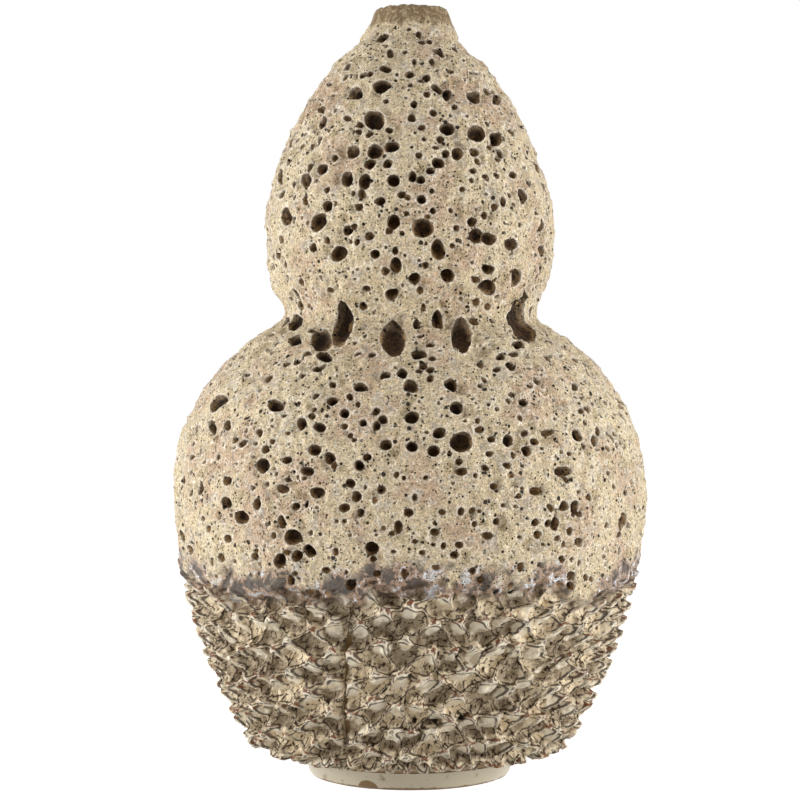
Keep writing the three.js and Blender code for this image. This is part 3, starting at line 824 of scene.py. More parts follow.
def press(grid):
    """Sets how far pinching moves each grid point, and what the finish needs to know of the relief."""
    grid.upright = grid.turn - STRIP_LEAN * (grid.z - LEAN_HEIGHT)
    grid.bend = [grid.bumps(*layers) for layers in BENDS]
    lowest, second, hollow_shade = (np.full_like(grid.s, start) for start in (UNPRESSED, UNPRESSED, 1.0))
    for (turn, s, corners), trait in zip(hollows, hollow_traits):
        found = window_at(grid, turn, s, TIP_ROW)
        if found is None:
            continue
        window, u, v = found
        bowl = diamond_share(u, v, corners) ** HOLLOW_POWER - 1
        level = HOLLOW_DEPTH * swung(HOLLOW_SWING, trait) * bowl
        second[window] = np.minimum(np.maximum(level, lowest[window]), second[window])
        hollow_shade[window] = np.where(level < lowest[window], swung(HOLLOW_SHADE_SWING, trait), hollow_shade[window])
        lowest[window] = np.minimum(level, lowest[window])
    grid.ridge_gap = np.clip(second - lowest, 0, RIDGE_REACH)
    grid.petal, grid.rust, grid.shelf, grid.crease, grid.hole = grid.blanks(5)
    near, thorn, side, up = grid.blanks(4)
    for column, traits in zip(tips, tip_traits):
        for (turn, s), (size, tilt, drag_side, drag_up, length, rust) in zip(column, traits):
            found = window_at(grid, turn, s, TIP_REACH)
            if found is None:
                continue
            window, u, v = found
            lean = SCALE_TILT * (tilt - 0.5)
            a, b = u * math.cos(lean) + v * math.sin(lean), v * math.cos(lean) - u * math.sin(lean)
            distance = np.hypot(u, v)
            lift(near, window, np.exp(-(distance / SAG_REACH) ** 2))
            lift(thorn, window, np.exp(-distance / THORN_WIDTH))
            grown = swung(SIZE_SWING, size)
            across = np.abs(a / (SCALE_WIDTH * grown))
            low = np.abs((b + SCALE_DROP) / (SCALE_LENGTH * swung(LENGTH_SWING, length)))
            from_middle = across ** SCALE_CORNERS + low ** SCALE_CORNERS
            # The face of each scale is painted lighter, as painted light.
            lift(grid.petal, window, np.sqrt(np.maximum(1 - from_middle, 0)) * grown)
            from_edge = b - RUST_UP + RUST_CURVE * a * a
            edge = np.exp(-(from_edge / RUST_TALL) ** 2 - (a / RUST_WIDE) ** 2)
            lift(grid.rust, window, edge * fade(rust, 0.0, FULL_RUST))
            lift(grid.shelf, window, np.exp(-((b - SHELF_UP) / SHELF_TALL) ** 2 - (a / SHELF_WIDE) ** 2))
            hold = np.clip(1 - distance / DRAG_REACH, 0, 1) ** DRAG_SOFTNESS
            side[window] += DRAG_SPREAD * (2 * drag_side - 1) * hold
            up[window] += DRAG_UP * (0.5 + drag_up) * hold
    fin = np.clip(1 - grid.ridge_gap / FIN_WIDTH, 0, 1) * grid.bumps(FIN_WANDER, start=FIN_HEIGHT)
    out = np.minimum(lowest, 0) - RIDGE_SAG * (1 - near) + SCALE_RISE * (grid.petal - 1) + FIN_RISE * fin
    out = out + THORN_RISE * (thorn - 1) + KEPT_RISE * (SCALE_RISE + THORN_RISE) - CLAY_DEPTH
    bent_turn, bent_s = grid.upright + grid.bend[0] / 2 / grid.radius, grid.s + grid.bend[1] / 2
    between = 1 - fade(grid.petal, 0.0, FLAKE_FADE)
    for spacing, height, seed in FLAKE_LAYERS:
        slant, border = flakes(bent_turn, bent_s, spacing, seed)
        out = out + height * slant * (FLAKES_ON_SCALES + (1 - FLAKES_ON_SCALES) * between)
        grid.crease = np.maximum(grid.crease, between * np.exp(-(border / BORDER_WIDTH) ** 2))
    # The hollow share sets the painted shade of the hollows: deeper clay is painted darker.
    grid.hollow = np.clip(-out / HOLLOW_DEPTH, 0, HOLLOW_LIMIT) * hollow_shade
    for degrees, height, width in PINHOLES:
        found = window_at(grid, math.radians(degrees), float(along(height)), HOLE_TRIED)
        if found is not None:
            window, u, v = found
            lift(grid.hole, window, 1 - fade(np.hypot(u, v), HOLE_INNER * width, HOLE_OUTER * width))
    return side, up, out - HOLE_DEPTH * grid.hole


for grid in GRIDS.values():
    grid.pressed = press(grid)
deepest, highest = float(strips.pressed[2].min()), float(strips.pressed[2].max())
print("relief from", round(deepest, 1), "to", round(highest, 1))

# %% [markdown]
# ## One surface from foam and points
# The two reliefs are mixed by how much clay shows. Both get the same unevenness, which reads the place in
# space, so the joint between coat and strips can't be seen, as on the real vase, where the glaze ran over
# it. The strips also dip at their seams and end in a worn, ragged edge.

# %% Mix the reliefs
COAT_DEPTH = 1.7
UNDER_DEPTH = 1.2
COAT_BACK = 8.2
# The face stays this far under the outline and in front of the coat's back
LEAST_UNDER, LEAST_BEHIND = 0.02, 0.3
FULL_PIT = 4.2
# The grain of a pit fades in over this share of its radius
GRAIN_FADE = 0.4
SKIN_EDGE, SKIN_STEP = 8.0, 5.0
LIP_BAND, LIP_FADE = 10.0, (-3.0, 2.5)
DRIP_DEPTH, DRIP_STRETCH = 0.6, 5
# Layers of unevenness, each with its height, width and seed: the foam, the grain in pits and in dishes,
# the clay, the worn edge of the strips, the edge of the lip's glaze and the ripples in it
FOAM = [(0.5, 38.0, 4), (1.0, 13.0, 5), (0.8, 5.5, 6), (0.45, 2.8, 7), (0.22, 1.5, 8)]
PIT_GRAIN = [(0.8, 2.4, 10), (0.5, 1.2, 11)]
DISH_GRAIN = [(0.5, 3.2, 12), (0.35, 1.6, 15)]
CLAY_GRAIN = [(0.25, 4.0, 28), (0.08, 1.7, 29)]
SKIN_WANDER = [(-7.0, 26.0, 16), (-2.0, 7.0, 17)]
LIP_WANDER = (2.2, 4.0, 18)
DRIPS = [(0.35, 1.8, 19), (0.25, 4.0, 20)]


def mix_relief(grid):
    foam = grid.bumps(*FOAM)
    rough = grid.bumps(*CLAY_GRAIN)
    skin = fade(grid.bumps(*SKIN_WANDER, start=grid.s - SKIN_EDGE), 0.0, SKIN_STEP)
    grid.lip = fade(grid.bumps(LIP_WANDER, start=grid.s - NECK_S - LIP_BAND), *LIP_FADE)
    glazed = (1 - grid.clay) * (1 - grid.lip)
    grain = fade(1 - grid.reach, 0.0, GRAIN_FADE) * grid.bumps(*PIT_GRAIN) - grid.sunk
    grain = grain + grid.dish * grid.bumps(*DISH_GRAIN)
    ripple = grid.rest / (1, 1, DRIP_STRETCH)
    drips = layered(ripple, DRIPS) - DRIP_DEPTH
    points = skin * (grid.pressed[2] + rough) - (1 - skin) * UNDER_DEPTH
    grid.out = glazed * (foam - COAT_DEPTH + grid.cut[2] + grain) + (1 - grid.clay) * grid.lip * drips
    grid.out = np.minimum(grid.out + grid.clay * points, -LEAST_UNDER)
    grid.out = np.maximum(grid.out, LEAST_BEHIND - COAT_BACK)
    grid.side = glazed * grid.cut[0] + grid.clay * skin * grid.pressed[0]
    grid.up = glazed * grid.cut[1] + grid.clay * skin * grid.pressed[1]
    grid.pit = glazed * np.clip(grid.fall / FULL_PIT, 0, 1)
    grid.rim = glazed * grid.rim
    grid.foot = 1 - skin
    grid.line_gap = grid.z - grid.line


for grid in GRIDS.values():
    mix_relief(grid)

# Along a seam nothing moves aside, and where it gapes its edges are rounded
SEAM_CALM, OPEN_ROUND, OPEN_ROUND_WIDTH = 1.5, 1.0, 0.9
strip_share = np.tile(np.linspace(-1, 1, STRIP_COLUMNS + 1), STRIP_COUNT)
strip_number = np.repeat(np.arange(STRIP_COUNT), STRIP_COLUMNS + 1)
edge_number = np.where(strip_share < 0, strip_number, (strip_number + 1) % STRIP_COUNT)
from_seam = (1 - np.abs(strip_share)) * STRIP_ANGLE / 2 * strips.radius
strips.side *= fade(from_seam, 0.0, SEAM_CALM)
opened = (seam_gaps(strips.s[:, 0])[:, edge_number] - CLOSED_SEAM) / OPEN_SEAM
strips.out -= OPEN_ROUND * opened * np.exp(-(from_seam / OPEN_ROUND_WIDTH) ** 2)
for name, grid in GRIDS.items():
    grid.xyz = grid.points()
    print(name, "relief", round(float(grid.out.min()), 1), "to", round(float(grid.out.max()), 1), "mm")

# %% [markdown]
# ## Meshes
# Each coat is cut into rings and the strips into thirty pieces, because a piece with fewer than 200,000
# triangles exports whole. Every piece is a closed shell: the fine outer face, a plain back that lies
# against the thrown wall, and walls between them. The shader reads the stored relief as attributes.

# %% Mesh helpers
ATTRIBUTES = ("pit", "low_side", "rim", "dish", "clay", "ridge_gap", "crease", "petal", "rust", "shelf",
              "hollow", "hole", "line_gap", "foot", "lip")
STRIP_BACK = 8.5
# Thickness of a strip at its lower end, and how fast it grows from there
FEATHER, FEATHER_RISE = 0.6, 0.26
BACK_STEP = 8


def stand_in(name, mesh, node):
    """An object for a mesh, which rides on the vase and stands for a CAD node."""
    piece = bpy.data.objects.new(name, mesh)
    bpy.context.collection.objects.link(piece)
    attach(piece, "root")
    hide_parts(node)
    print(name, "triangles", len(mesh.loops) - 2 * len(mesh.polygons))


def make_piece(name, grid, window, back, axis, quads, triangles, smooth, material, node):
    """A closed piece: a window of a grid, and a plain back that is joined to it along an axis."""
    def joined(face, behind):
        return np.concatenate([face, behind], axis=axis)

    points = joined(grid.xyz[window], back).reshape(-1, 3)
    normals = joined(grid.normals[window], np.zeros_like(back)).reshape(-1, 3)
    mesh = bpy.data.meshes.new(name)
    mesh.vertices.add(len(points))
    mesh.vertices.foreach_set("co", (points * MM).astype(np.float32).ravel())
    corners = np.concatenate([quads.ravel(), triangles.ravel()]).astype(np.int32)
    sizes = np.repeat([4, 3], [quads.size // 4, len(triangles)])
    mesh.loops.add(len(corners))
    mesh.loops.foreach_set("vertex_index", corners)
    mesh.polygons.add(len(sizes))
    starts = np.concatenate([[0], np.cumsum(sizes)[:-1]]).astype(np.int32)
    mesh.polygons.foreach_set("loop_start", starts)
    mesh.update(calc_edges=True)
    smooth = np.concatenate([smooth.ravel(), np.zeros(len(triangles), bool)])
    flat = mesh.attributes.new("sharp_face", "BOOLEAN", "FACE")
    flat.data.foreach_set("value", ~smooth)
    for key in ATTRIBUTES:
        value = joined(getattr(grid, key)[window], np.zeros(back.shape[:2])).ravel()
        mesh.attributes.new(key, "FLOAT", "POINT").data.foreach_set("value", value.astype(np.float32))
    # A corner without a normal of its own, as on the back and the walls, takes the one of its face
    mesh.normals_split_custom_set(normals[corners] * np.repeat(smooth, sizes)[:, None])
    mesh.materials.append(material)
    stand_in(name, mesh, node)


def ring_piece(name, grid, low, high, depth, material, node):
    """A closed ring of the coat between two rows: outer face up, inner face down, both round the vase."""
    back_rows = np.linspace(high, low, max(3, (high - low) // BACK_STEP)).round().astype(int)
    if depth == 0:
        back_rows = back_rows[:0]
    back = place(grid.turn[back_rows], grid.s[back_rows], np.full_like(grid.s[back_rows], -depth))
    rows, columns = high + 1 - low + len(back), back.shape[1]
    index = np.arange(rows * columns).reshape(rows, columns)
    above, beside = np.roll(index, -1, axis=0), np.roll(index, -1, axis=1)
    quads = np.stack([index, beside, np.roll(above, -1, axis=1), above], axis=-1)
    smooth = np.zeros((rows, columns), bool)
    smooth[:high - low] = True
    make_piece(name, grid, slice(low, high + 1), back, 0, quads, np.zeros((0, 3), int), smooth, material,
               node)


def strip_piece(name, grid, number, material, node):
    """One closed strip: 37 columns of face and three of back in each row, and a fan at each end."""
    first, rows, half = number * (STRIP_COLUMNS + 1), grid.last + 1, STRIP_COLUMNS // 2
    window = np.ix_(np.arange(rows), np.arange(first, first + STRIP_COLUMNS + 1))
    behind = np.ix_(np.arange(rows), [first + STRIP_COLUMNS, first + half, first])
    thickness = np.minimum(STRIP_BACK, FEATHER + FEATHER_RISE * grid.s[behind])
    back = place(grid.turn[behind], grid.s[behind], -thickness)
    right, middle, left, columns = range(STRIP_COLUMNS + 1, STRIP_COLUMNS + 5)
    index = np.arange(rows * columns).reshape(rows, columns)
    beside = np.roll(index, -1, axis=1)
    quads = np.stack([index[:-1], beside[:-1], beside[1:], index[1:]], axis=-1)
    smooth = np.zeros((rows - 1, columns), bool)
    smooth[:, :STRIP_COLUMNS] = True
    fan = [(left, i + 1, i) for i in range(half)] + [(left, middle, half)]
    fan += [(middle, i + 1, i) for i in range(half, STRIP_COLUMNS)] + [(middle, right, STRIP_COLUMNS)]
    triangles = np.concatenate([index[0][fan], index[-1][fan][:, ::-1]])
    make_piece(name, grid, window, back, 1, quads, triangles, smooth, material, node)


# %% [markdown]
# ## Finishes
# Colours are written as the sRGB hex values that the eye reads off the real finish, and one function
# turns them to linear. One function adds a node with its settings and its links.

# %% Colour and node helpers
def colour(hex_value):
    """Linear RGBA from an sRGB hex value."""
    channels = [int(hex_value[i:i + 2], 16) / 255 for i in (1, 3, 5)]
    linear = [c / 12.92 if c <= 0.04045 else ((c + 0.055) / 1.055) ** 2.4 for c in channels]
    return (*linear, 1.0)


def add(tree, kind, inputs=None, **settings):
    """Adds a node. Each input is a value, or the socket that it is linked from."""
    node = tree.nodes.new(kind)
    for key, value in settings.items():
        setattr(node, key, value)
    for key, value in (inputs or {}).items():
        if isinstance(value, bpy.types.NodeSocket):
            tree.links.new(value, node.inputs[key])
        else:
            node.inputs[key].default_value = value
    return node


def fresh_tree(owner):
    """The empty node tree of a material or of the world."""
    owner.use_nodes = True
    owner.node_tree.nodes.clear()
    return owner.node_tree


def millimetres(tree):
    """The place of a surface point, in millimetres, for patterns with a real size."""
    spot = add(tree, "ShaderNodeTexCoord").outputs["Object"]
    return add(tree, "ShaderNodeVectorMath", {0: spot, "Scale": 1 / MM}, operation="SCALE").outputs[0]


# %% [markdown]
# ### Crater glaze and glazed clay points
# All coats carry one glaze: thick and foamed above, thin over the points, run off at the lip. It is a
# dry, matt stoneware glaze, cream with pink-brown, olive and grey patches, and full of pinholes. Where it
# is thin it breaks brown along ridges and rust red at the tips. At its lower edge it pooled and turned
# glassy, in purple grey, icy blue, white and ochre. The stored relief says where each colour goes, so one
# tree serves the coats, the strips and the lip. It also paints light and shade: painted shade in the
# dishes, the pinholes, the hollows and the upper side of each pit, painted shade added to the darker clay
# deep in the pits and to the breaks beside the ridges, painted light on the scales and the lower side of
# each pit, and a painted highlight added to the pale crater rims.
#
# The tables below hold the recipe. Noises and pinholes are patterns with real sizes. A share is a soft
# step over one of them, and may be multiplied by another. A sheet is a base colour with layers laid over
# it.

# %% Recipe of the glaze
CREAM, PINK_BROWN, OLIVE, ASH = colour("#e3d2b1"), colour("#c4a08a"), colour("#a89872"), colour("#bdb5ac")
PALE_SPECK, DARK_SPECK = colour("#fdf6e8"), colour("#725d46")
# The pit colours stand for the darker clay inside the pits and also for painted shade there.
PIT_OCHRE, PIT_BROWN, PIT_BLACK = colour("#b59160"), colour("#47301b"), colour("#140d07")
# The shade colour of the clay is painted shade in the hollows, and the pale one painted light on the
# scales.
CLAY_CREAM, CLAY_SHADE, PETAL_LIGHT = colour("#f8e7c8"), colour("#553c24"), colour("#fff6e2")
# This brown is the glaze breaking on the ridges, and also painted shadow in the lines beside them.
BREAK_AND_SHADOW_BROWN, TIP_RUST = colour("#2f1b0d"), colour("#80441f")
FOOT_WHITE, BARE_OCHRE = colour("#cfc6b0"), colour("#7d6136")
# The colour laid in the dishes is painted shade.
DISH_SHADE = colour("#8f7850")
POOL_PINK, POOL_PURPLE, POOL_ICE = colour("#ad8f79"), colour("#7d6a60"), colour("#e6e9ef")
POOL_OCHRE, POOL_DARK = colour("#b18d55"), colour("#33261d")
LIP_BROWN, LIP_PALE = colour("#8b765a"), colour("#cdbb9a")

# Millimetres from one patch to the next, and the detail within
NOISE_ROUGHNESS = 0.65
NOISES = {"broad": (30.0, 3.0), "blotch": (8.0, 4.0), "speck": (2.6, 4.0), "grain": (0.9, 3.0)}
# Spacing of the cells in millimetres, and the widest radius as a share of the spacing. The radii run from
# there to below nothing, so some cells have no pinhole.
PINHOLES_OF_GLAZE = {"pinhole": (1.4, 0.4), "small_pit": (3.2, 0.33), "wide_pit": (6.0, 0.22)}
LEAST_OF_WIDEST = -0.3
FACET_WIDTH, FACET_RISE = 4.2, 1.6
POOL_MIDDLE = 5.0
# Name, what it steps over, where the step starts and ends, how far it goes, what it is multiplied by
SHARES = [
    ("some", "speck", 0.4, 0.55, 1.0, None), ("few", "blotch", 0.42, 0.56, 1.0, None),
    ("is_pink", "broad", 0.48, 0.62, 0.5, None), ("is_olive", "blotch", 0.54, 0.68, 0.6, None),
    ("is_ash", "blotch", 0.46, 0.34, 0.6, None), ("is_pale", "speck", 0.54, 0.68, 0.8, None),
    # The pale rim round a crater is partly the pale glaze of the rim and partly a painted highlight.
    ("is_dark", "speck", 0.44, 0.3, 0.6, None), ("is_halo", "rim", 0.2, 1.0, 0.45, None),
    # The pits darken with depth: partly their darker clay, partly painted shade.
    ("is_wall", "pit", 0.04, 0.3, 0.85, None), ("is_deep", "pit", 0.42, 0.9, 0.97, None),
    # The dishes are darkened with painted shade.
    ("is_grit", "speck", 0.52, 0.4, 0.8, None), ("is_sunk", "dish", 0.2, 0.9, 0.55, "some"),
    # Painted light on the lower side of a pit, painted shadow on its upper side.
    ("is_low", "low_side", 0.6, 0.9, 0.6, None), ("is_high", "low_side", 0.55, 0.15, 0.8, None),
    # Painted shade darkens the hollows between the points and the ledges behind the tips.
    ("often", "blotch", 0.36, 0.5, 0.9, None), ("is_hollow", "hollow", 0.78, 1.25, 0.55, None),
    # The faces of the scales are brightened with painted light.
    ("is_shelf", "shelf", 0.4, 0.9, 0.6, "often"), ("is_petal", "petal", 0.15, 0.6, 1.0, "often"),
    ("is_ridge", "ridge_gap", 0.35, 0.1, 0.75, "some"),
    ("past_fin", "ridge_gap", 0.5, 0.75, 1.0, "often"),
    # The lines beside the ridges and along the flake borders are partly glaze breaks, partly painted
    # shadow.
    ("is_groove", "ridge_gap", 1.5, 1.1, 0.95, "past_fin"),
    ("is_crease", "crease", 0.35, 0.8, 0.95, "some"), ("is_rust", "rust", 0.2, 0.65, 0.85, "some"),
    ("is_foot", "foot", 0.0, 1.0, 1.0, None), ("is_ice", "blotch", 0.55, 0.61, 1.0, None),
    ("is_ochre", "speck", 0.56, 0.66, 0.8, None), ("is_purple", "blotch", 0.52, 0.45, 0.9, None),
    ("is_black", "blotch", 0.51, 0.45, 0.95, None), ("part", "broad", 0.34, 0.48, 1.0, None),
    ("pooled", "away", 12.0, 4.0, 0.92, "part"), ("on_foam", "clay", 0.9, 0.1, 1.0, None),
    ("crowded", "blotch", 0.36, 0.56, 1.0, "on_foam"),
    # Pinholes and the holes between the points are filled with black, as painted shade.
    ("is_pinhole", "pinhole", -0.02, 0.05, 1.0, "crowded"),
    ("is_small_pit", "small_pit", 0.0, 0.04, 0.95, "crowded"),
    ("is_wide_pit", "wide_pit", -0.01, 0.03, 0.95, "on_foam"), ("is_hole", "hole", 0.1, 0.6, 0.97, None),
    ("is_run", "speck", 0.45, 0.65, 0.8, None), ("is_lip", "lip", 0.0, 1.0, 1.0, None),
    ("rough_clay", "clay", 0.1, 0.9, 0.85, None),
]
SHEETS = {
    "foam": (CREAM, [(PINK_BROWN, "is_pink"), (OLIVE, "is_olive"), (ASH, "is_ash"), (DISH_SHADE, "is_sunk"),
                     (DARK_SPECK, "is_dark"), (PALE_SPECK, "is_pale"), (PALE_SPECK, "is_halo")]),
    "points": (CLAY_CREAM, [(CLAY_SHADE, "is_hollow"), (CLAY_SHADE, "is_shelf"), (PETAL_LIGHT, "is_petal"),
                            (BREAK_AND_SHADOW_BROWN, "is_ridge"), (BREAK_AND_SHADOW_BROWN, "is_groove"),
                            (BREAK_AND_SHADOW_BROWN, "is_crease"), (TIP_RUST, "is_rust"), (FOOT_WHITE, "is_foot")]),
    "pool": (POOL_PINK, [(POOL_PURPLE, "is_purple"), (POOL_ICE, "is_ice"), (POOL_OCHRE, "is_ochre"),
                         (POOL_DARK, "is_black")]),
    # Pit walls and floors get painted shadow on their upper side and painted light low on the floor.
    "wall": (PIT_OCHRE, [(PIT_BROWN, "is_grit"), (PIT_BROWN, "is_high")]),
    "deep": (PIT_BROWN, [(PIT_BLACK, "is_grit"), (PIT_OCHRE, "is_low"), (PIT_BLACK, "is_high")]),
    # The black in a hole is painted shade.
    "hole": (PIT_BLACK, []),
    "run": (LIP_BROWN, [(LIP_PALE, "is_run")]),
}
# The sheets laid over the foam, in order
COVERS = [("points", "clay"), ("pool", "pooled"), ("wall", "is_wall"), ("deep", "is_deep"),
          ("hole", "is_pinhole"), ("hole", "is_small_pit"), ("hole", "is_wide_pit"), ("hole", "is_hole"),
          ("run", "is_lip")]
# The finest grain darkens and lightens the colour, except on the clay
GRAIN_LOW, GRAIN_HIGH, GRAIN_DARK, GRAIN_LIGHT = 0.36, 0.66, 0.62, 1.36
BUMP_DEPTH = 0.7 * MM
# Typical of glass, which a glaze is. Dry foam is rough and dull, and the pooled band is glossier.
GLAZE_IOR = 1.5
DRY_ROUGHNESS, POOL_ROUGHNESS = 0.62, 0.3
DRY_GLOSS, POOL_GLOSS = 0.15, 0.5


# %% Glaze
def glaze_material(name):
    material = bpy.data.materials.new(name)
    tree = fresh_tree(material)
    spot = millimetres(tree)
    value = {None: 1.0}
    for key in ATTRIBUTES:
        value[key] = add(tree, "ShaderNodeAttribute", attribute_name=key).outputs["Fac"]
    from_pool = add(tree, "ShaderNodeMath", {0: value["line_gap"], 1: POOL_MIDDLE}, operation="SUBTRACT")
    value["away"] = add(tree, "ShaderNodeMath", {0: from_pool.outputs[0]}, operation="ABSOLUTE").outputs[0]
    for key, (width, detail) in NOISES.items():
        settings = {"Vector": spot, "Scale": 1 / width, "Detail": detail, "Roughness": NOISE_ROUGHNESS}
        value[key] = add(tree, "ShaderNodeTexNoise", settings).outputs["Fac"]
    for key, (spacing, widest) in PINHOLES_OF_GLAZE.items():
        cells = add(tree, "ShaderNodeTexVoronoi", {"Vector": spot, "Scale": 1 / spacing}).outputs
        chance = add(tree, "ShaderNodeSeparateColor", {0: cells["Color"]}).outputs[0]
        size = add(tree, "ShaderNodeMapRange", {
            "Value": chance, "To Min": LEAST_OF_WIDEST * widest, "To Max": widest}).outputs["Result"]
        inside = add(tree, "ShaderNodeMath", {0: size, 1: cells["Distance"]}, operation="SUBTRACT")
        value[key] = inside.outputs[0]
    for key, source, start, end, most, partner in SHARES:
        settings = {"Value": value[source], "From Min": start, "From Max": end, "To Max": most}
        share = add(tree, "ShaderNodeMapRange", settings, interpolation_type="SMOOTHSTEP").outputs["Result"]
        product = add(tree, "ShaderNodeMath", {0: share, 1: value[partner]}, operation="MULTIPLY")
        value[key] = product.outputs[0]
    tint = {}
    for key, (base, layers) in SHEETS.items():
        tint[key] = base
        for layer, share in layers:
            settings = {0: value[share], 6: tint[key], 7: layer}
            tint[key] = add(tree, "ShaderNodeMix", settings, data_type="RGBA").outputs[2]
    surface = tint["foam"]
    for key, share in COVERS:
        settings = {0: value[share], 6: surface, 7: tint[key]}
        surface = add(tree, "ShaderNodeMix", settings, data_type="RGBA").outputs[2]
    shade = add(tree, "ShaderNodeMapRange", {
        "Value": value["grain"], "From Min": GRAIN_LOW, "From Max": GRAIN_HIGH, "To Min": GRAIN_DARK,
        "To Max": GRAIN_LIGHT}).outputs["Result"]
    shade = add(tree, "ShaderNodeMix", {0: value["rough_clay"], 2: shade, 3: 1.0}).outputs[0]
    surface = add(tree, "ShaderNodeVectorMath", {0: surface, "Scale": shade}, operation="SCALE").outputs[0]
    height = add(tree, "ShaderNodeMath", {0: value["speck"], 1: value["grain"]}, operation="ADD").outputs[0]
    facet = add(tree, "ShaderNodeTexVoronoi", {"Vector": spot, "Scale": 1 / FACET_WIDTH},
                distance="MANHATTAN").outputs["Distance"]
    facet = add(tree, "ShaderNodeMath", {0: facet, 1: value["clay"]}, operation="MULTIPLY").outputs[0]
    height = add(tree, "ShaderNodeMath", {0: facet, 1: -FACET_RISE, 2: height},
                 operation="MULTIPLY_ADD").outputs[0]
    for key in PINHOLES_OF_GLAZE:
        depth = value[f"is_{key}"]
        height = add(tree, "ShaderNodeMath", {0: height, 1: depth}, operation="SUBTRACT").outputs[0]
    relief = add(tree, "ShaderNodeBump", {"Height": height, "Distance": BUMP_DEPTH}).outputs[0]
    rough, gloss = (
        add(tree, "ShaderNodeMapRange", {"Value": value["pooled"], "To Min": dry, "To Max": wet}).outputs[0]
        for dry, wet in ((DRY_ROUGHNESS, POOL_ROUGHNESS), (DRY_GLOSS, POOL_GLOSS)))
    shader = add(tree, "ShaderNodeBsdfPrincipled", {
        "Base Color": surface, "Roughness": rough, "Normal": relief, "IOR": GLAZE_IOR,
        "Specular IOR Level": gloss})
    add(tree, "ShaderNodeOutputMaterial", {"Surface": shader.outputs[0]})
    return material


crater_glaze = glaze_material("foamed stoneware glaze")
spiked_clay = glaze_material("thin stoneware glaze over pinched clay")
lip_glaze = glaze_material("stoneware glaze run off the lip")
print("glaze nodes:", len(crater_glaze.node_tree.nodes))

# %% [markdown]
# ### Smooth glaze and bare clay
# The foot was dipped in a plain off-white glaze. It was wiped bare along the floor, in a ragged line, and
# a fingertip left one bare mark where it was held. Bare, the stoneware is ochre brown.

# %% Foot and bare clay
WIPED_HEIGHT, WIPED_WANDER, WIPED_EDGE = 1.2, 2.4, 0.5
MARK_TURN, MARK_WIDTH, MARK_HEIGHT = math.radians(-23.6), 11.5, 5.0
MARK_RADIUS = 52.8
# The mark fades out between these shares of its size
MARK_INNER, MARK_OUTER = 0.95, 1.05
PATCH_WIDTH, PATCH_RISE, PATCH_STRENGTH = 5.0, 0.3 * MM, 0.5
FLAW_LOW, FLAW_HIGH = 0.6, 0.8
FOOT_ROUGHNESS, BARE_ROUGHNESS = 0.35, 0.8


def stoneware(name, glaze, wiped, roughness):
    """Smooth glaze with small brown flaws, bare below the wiped height and in the finger mark."""
    material = bpy.data.materials.new(name)
    tree = fresh_tree(material)
    spot = millimetres(tree)
    patch = add(tree, "ShaderNodeTexNoise", {
        "Vector": spot, "Scale": 1 / PATCH_WIDTH, "Detail": 4.0}).outputs["Fac"]
    height = add(tree, "ShaderNodeSeparateXYZ", {0: spot}).outputs[2]
    ragged = add(tree, "ShaderNodeMath", {0: patch, 1: -WIPED_WANDER, 2: height}, operation="MULTIPLY_ADD")
    above = wiped - WIPED_WANDER / 2
    bare = add(tree, "ShaderNodeMapRange", {
        "Value": ragged.outputs[0], "From Min": above + WIPED_EDGE, "From Max": above}).outputs["Result"]
    mark = (MARK_RADIUS * math.sin(MARK_TURN), -MARK_RADIUS * math.cos(MARK_TURN), 0.0)
    aside = add(tree, "ShaderNodeVectorMath", {0: spot, 1: mark}, operation="SUBTRACT").outputs[0]
    squeezed = add(tree, "ShaderNodeVectorMath", {
        0: aside, 1: (2 / MARK_WIDTH, 2 / MARK_WIDTH, 1 / MARK_HEIGHT)}, operation="MULTIPLY").outputs[0]
    reach = add(tree, "ShaderNodeVectorMath", {0: squeezed}, operation="LENGTH").outputs["Value"]
    marked = add(tree, "ShaderNodeMapRange", {
        "Value": reach, "From Min": MARK_OUTER, "From Max": MARK_INNER,
        "To Max": float(wiped > 0)}).outputs["Result"]
    bare = add(tree, "ShaderNodeMath", {0: bare, 1: marked}, operation="MAXIMUM").outputs[0]
    flaws = add(tree, "ShaderNodeMapRange", {
        "Value": patch, "From Min": FLAW_LOW, "From Max": FLAW_HIGH}).outputs["Result"]
    mixed = glaze
    for share in (flaws, bare):
        mixed = add(tree, "ShaderNodeMix", {0: share, 6: mixed, 7: BARE_OCHRE}, data_type="RGBA").outputs[2]
    relief = add(tree, "ShaderNodeBump", {
        "Height": patch, "Strength": PATCH_STRENGTH, "Distance": PATCH_RISE}).outputs[0]
    shader = add(tree, "ShaderNodeBsdfPrincipled", {
        "Base Color": mixed, "Roughness": roughness, "Normal": relief, "IOR": GLAZE_IOR})
    add(tree, "ShaderNodeOutputMaterial", {"Surface": shader.outputs[0]})
    return material


foot_glaze = stoneware("off-white foot glaze", FOOT_WHITE, WIPED_HEIGHT, FOOT_ROUGHNESS)
bare_stoneware = stoneware("bare fired stoneware", colour("#8a6f48"), 0.0, BARE_ROUGHNESS)

# %% [markdown]
# ## The coats and the strips
# The coats are cut into rings of so many rows that every piece stays under the limit.

# %% Build the coats
RING_ROWS = 76
coat.find_normals()
waist_row = int(np.searchsorted(coat.z[:, 0], WAIST_HEIGHT))
for name, first, last, node in (("shoulder_glaze", coat.first, waist_row, "shoulder_crater_glaze"),
                                ("upper_glaze", waist_row, coat.last, "upper_crater_glaze")):
    parts = math.ceil((last - first) / RING_ROWS)
    cuts = np.linspace(first, last, parts + 1).round().astype(int)
    for number, (low, high) in enumerate(zip(cuts, cuts[1:])):
        ring_piece(f"{name}_{number + 1}", coat, low, high, COAT_BACK, crater_glaze, node)

strips.find_normals()
for number in range(STRIP_COUNT):
    strip_piece(f"clay_strip_{number + 1:02d}", strips, number, spiked_clay,
                f"spiked_strip_{number + 1:02d}")

